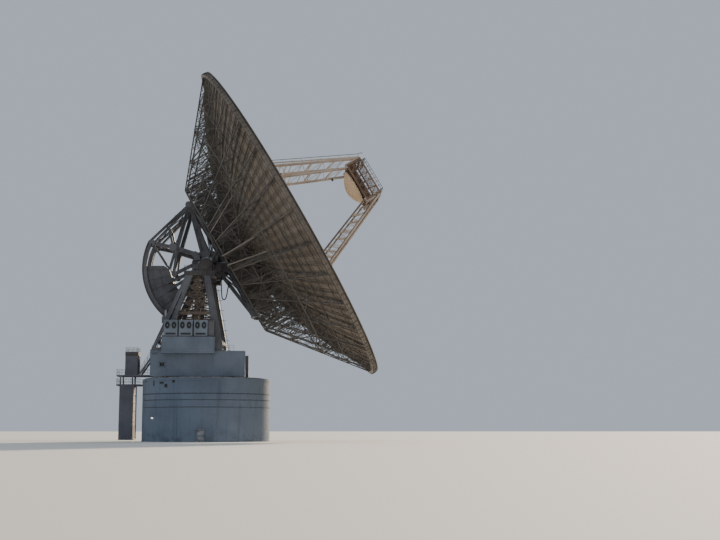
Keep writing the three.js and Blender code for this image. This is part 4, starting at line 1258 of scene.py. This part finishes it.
def add_counterweight_ribs():
    solids = Solids()
    for side in SIDES:
        for angle in (182, 192, 202, 212, 222):
            solids.bar(*(wheel_point(r, angle, side * 0.3055) for r in (0.80, 1.20)), 0.008, 0.012, SIDE)
        for r in (0.95, 1.10, 1.20):
            solids.ring((r - 0.005, r + 0.005), (side * 0.2992, side * 0.3115), wheel_point, 24, 180, 48)
        for angle in (185, 197, 209, 221):
            at = wheel_point(1.16, angle, side * 0.21)
            solids.cylinder(at - SIDE * 0.03, at + SIDE * 0.03, 0.012, sides=10)
    solids.piece("counterweight_ribs", "dish", "tipping", "structure_paint")


# About the elevation hub: boxes outside the wheels, feet of the struts on the tipping frame,
# and cross beams at these places
HUB_BOXES = [
    (-0.20, 3.64, 0.12, 0.10, 0.50), (0.16, 3.62, 0.12, 0.12, 0.54),
    (0.23, 3.44, 0.10, 0.14, 0.50), (-0.22, 3.46, 0.10, 0.10, 0.48),
]
STRUT_FEET = [(-0.42, 0.62), (0.42, 0.62), (-0.15, 1.0), (0.2, 1.05), (-0.75, 0.35), (0.75, 0.35)]
BEAM_X = (-1.2, -0.8, -0.4, 0.4, 0.8, 1.2)


def add_hub_works():
    """Machinery, beams and pipes about the elevation hub, carried by the tipping frame."""
    solids, pipes = Solids(), Solids()
    for side in SIDES:
        for x, z, w, h, end in HUB_BOXES:
            solids.box((x - w / 2, side * 0.40, z - h / 2), (x + w / 2, side * end, z + h / 2))
        for x, y in STRUT_FEET:
            solids.bar((0.1, side * 0.40, 3.55), tip(x, side * y, 0.37), 0.022)
        roots = [tip(x, side * 0.30, 0.33) for x in BEAM_X]
        heads = [tip(x * 0.93, side * 0.75, 0.40) for x in BEAM_X]
        for x, root, head in zip(BEAM_X, roots, heads):
            solids.bar(root, head, 0.020)
            solids.bar(root, tip(x * 0.55, side * 0.62, 0.40), 0.014)
        for root, (head, after) in zip(roots, pairwise(heads)):
            solids.bar(head, after, 0.016)
            solids.bar(root, after, 0.012)
        for k in range(4):
            start = Vector((0.02 + 0.03 * k, side * 0.425, 3.36))
            bend = (0.20, side * (0.44 + 0.012 * k), 3.58)
            ends = tip(-0.10 + 0.06 * k, side * 0.36, 0.36), tip(-0.05 + 0.05 * k, side * 0.27, 0.45)
            pipes.tube([start, start + Vector((0.03, 0, 0.10)), bend, *ends], 0.007, sides=6)
    for x in (-0.9, -0.5, 0.5, 0.9):
        solids.bar(tip(x, -0.295, 0.30), tip(x, 0.295, 0.30), 0.030, 0.045, AHEAD)
    solids.boxes((-0.12, -0.26, 3.588, 0.14, 0.26, 3.66), (-0.24, -0.2, 3.40, -0.16, 0.2, 3.52))
    solids.piece("hub_beams_and_boxes", "dish", "tipping", "structure_paint")
    pipes.piece("hub_pipes", "dish", "dark", "cable_rubber", smooth=True)


# Stair tower: its two cabins as ends in x, half width, ends in z and number of bays between ribs
CABINS = [(-1.71, -1.45, 0.19, 0.032, 1.106, 7), (-1.61, -1.37, 0.185, 1.317, 1.778, 6)]
STAIR_FOOT = Vector((-1.33, 0, 1.32))
STAIR_HEAD = Vector((-1.07, 0, 1.745))


def add_cabin_trim():
    """Ribs and bands of the cabins, a sheet with painted sunlight on the lower one's lit side, louvres, doors
    and windows.
    """
    ribs, panel, louvres, shadow = (Solids() for _ in range(4))
    for x0, x1, y, z0, z1, count in CABINS:
        for x, side in product(steps(x0 + 0.008, x1 - 0.008, count), SIDES):
            ribs.box((x - 0.005, side * (y - 0.002), z0), (x + 0.005, side * (y + 0.004), z1))
        for across in steps(-y + 0.008, y - 0.008, 8):
            for x in (x0 - 0.001, x1 + 0.001):
                ribs.box((x - 0.003, across - 0.005, z0), (x + 0.003, across + 0.005, z1))
        for z in (z0, z1 - 0.012):
            ribs.box((x0 - 0.007, -y - 0.007, z), (x1 + 0.007, y + 0.007, z + 0.012))
    for z in (0.38, 0.74):
        ribs.box((-1.716, -0.196, z), (-1.444, 0.196, z + 0.010))
    ribs.piece("cabin_ribs", "alidade", "cabin", "housing_paint")
    # Warm pale sheet on the lower cabin's +X face: painted sunlight
    panel.box((-1.4515, -0.186, 0.05), (-1.4455, 0.186, 1.09))
    panel.piece("cabin_side_sunlit_sheet", "alidade", "painted_sunlight", "housing_paint")
    louvres.boxes(
        (-1.614, -0.1915, 1.695, -1.366, -0.1845, 1.766), (-1.614, 0.1845, 1.695, -1.366, 0.1915, 1.766),
        (-1.6165, -0.188, 1.695, -1.609, 0.188, 1.766), (-1.371, -0.188, 1.695, -1.3635, 0.188, 1.766),
    )
    louvres.piece("cabin_top_louvres", "alidade", "head", "housing_paint")
    shadow.boxes((-1.367, -0.06, 1.32, -1.3645, 0.05, 1.54), (-1.447, -0.06, 0.06, -1.4445, 0.05, 0.28))
    shadow.piece("cabin_doors_and_windows", "alidade", "dark", "housing_paint")


def add_stair():
    """Rails and gratings of the platforms, the stair, a ladder and a pipe."""
    solids = Solids()
    for z, x in ((1.315, -1.06), (1.13, -1.31)):
        line = [(x, -0.195, z), (-1.775, -0.195, z), (-1.775, 0.195, z), (x, 0.195, z)]
        solids.rail(line, RAIL_HEIGHT, 0.1)
        for y in steps(-0.19, 0.19, 6):
            solids.bar((-1.775, y, z - 0.026), (x, y, z - 0.026), 0.006, 0.012)
    roof = [(-1.49 + 0.115 * u, 0.18 * v, 1.78) for u, v in CORNERS]
    solids.rail([*roof, roof[0]], 0.08, 0.09)
    for at in steps(lerp(STAIR_FOOT, STAIR_HEAD, 0.04), lerp(STAIR_FOOT, STAIR_HEAD, 0.96), 17):
        solids.box((at.x - 0.014, -0.172, at.z - 0.002), (at.x + 0.014, 0.172, at.z + 0.002))
    for y in (-0.195, 0.195):
        for offset in (Vector((0, y, z)) for z in (0.055, 0.11)):
            solids.bar(STAIR_FOOT + offset, STAIR_HEAD + offset, 0.006)
        for at in steps(STAIR_FOOT, STAIR_HEAD, 5):
            solids.bar(at + SIDE * y, at + SIDE * y + UP * RAIL_HEIGHT, 0.005)
    for y in (0.05, 0.09):
        solids.bar((-1.43, y, 0.06), (-1.43, y, 1.30), 0.005)
    for z in steps(0.1, 1.26, 34):
        solids.bar((-1.43, 0.05, z), (-1.43, 0.09, z), 0.004)
    solids.bar((-1.383, -0.14, 0.05), (-1.383, -0.14, 1.11), 0.016)
    for z in (0.3, 0.6, 0.9):
        solids.bar((-1.383, -0.14, z), (-1.45, -0.14, z), 0.010)
    solids.piece("stair_rails_and_treads", "alidade", "structure", "structure_paint")


# Plain pale floor and soft light, with the key light from the right behind the dish
FLOOR_REACH = 400
SUNS = [
    ("key", (-0.42, -0.86, -0.30), 7.0, (1.0, 0.80, 0.57), 5),
    ("side", (-0.85, 0.25, -0.45), 1.1, (1.0, 0.92, 0.82), 25),
]


def add_studio():
    mesh = bpy.data.meshes.new("floor")
    mesh.from_pydata([(u * FLOOR_REACH, v * FLOOR_REACH, 0) for u, v in CORNERS], [], [(0, 1, 2, 3)])
    floor = bpy.data.objects.new("floor", mesh)
    bpy.context.scene.collection.objects.link(floor)
    floor.data.materials.append(Nodes("floor").done((0.62, 0.62, 0.61), 0.9))
    world = bpy.data.worlds.new("studio")
    bpy.context.scene.world = world
    world.use_nodes = True
    background = world.node_tree.nodes["Background"]
    background.inputs["Color"].default_value = (0.62, 0.70, 0.80, 1)
    background.inputs["Strength"].default_value = 0.7
    for name, direction, strength, colour, angle in SUNS:
        data = bpy.data.lights.new(name, "SUN")
        data.energy = strength
        data.color = colour
        data.angle = math.radians(angle)
        light = bpy.data.objects.new(name, data)
        light.rotation_euler = Vector(direction).to_track_quat("-Z", "Y").to_euler()
        bpy.context.scene.collection.objects.link(light)


# Finish of the nodes that show as they are: by a part of the name, else by the slot
FINISH_BY_NAME = {
    "apex_frame": "apex", "rim_ring": "rim", "tower_head": "head", "tower_tie": "bracing", "cabin": "cabin",
    "fan_unit": "fan", "elevation_wheel": "tipping", "counterweight": "tipping", "base_girder": "housing",
}
FINISH_BY_SLOT = {
    "concrete": "concrete", "housing_paint": "housing", "structure_paint": "structure",
    "backup_paint": "backup", "reflector_panel": "panel", "feed_paint": "leg", "bearing_steel": "steel",
    "cable_rubber": "rubber",
}


def finish_nodes():
    slots = {row["node"]: row["material_slot"] for row in frame["record"]["subparts"]}
    for name, obj in frame["nodes"].items():
        named = [finish for part, finish in FINISH_BY_NAME.items() if part in name]
        finish = named[0] if named else FINISH_BY_SLOT[slots[name]]
        obj.data.materials.clear()
        obj.data.materials.append(MATERIALS[finish])


add_camera()
MATERIALS = make_materials()
add_cable()
finish_nodes()
for add_part in (
    add_panels, add_panel_stiffeners, add_rim_cleats, add_fine_ribs, add_hoops, add_core_frame,
    add_side_chords, add_leg_lacing, add_leg_walkway, add_apex_details, add_subreflector, add_feeds,
    add_drum, add_drum_fittings, add_base_trim, add_deck_rails, add_house, add_tower_flanges,
    add_bearing_caps, add_ladders, add_tower_bracing, add_drives, add_wheel_trim, add_counterweight_ribs,
    add_hub_works, add_cabin_trim, add_stair, add_studio,
):
    add_part()
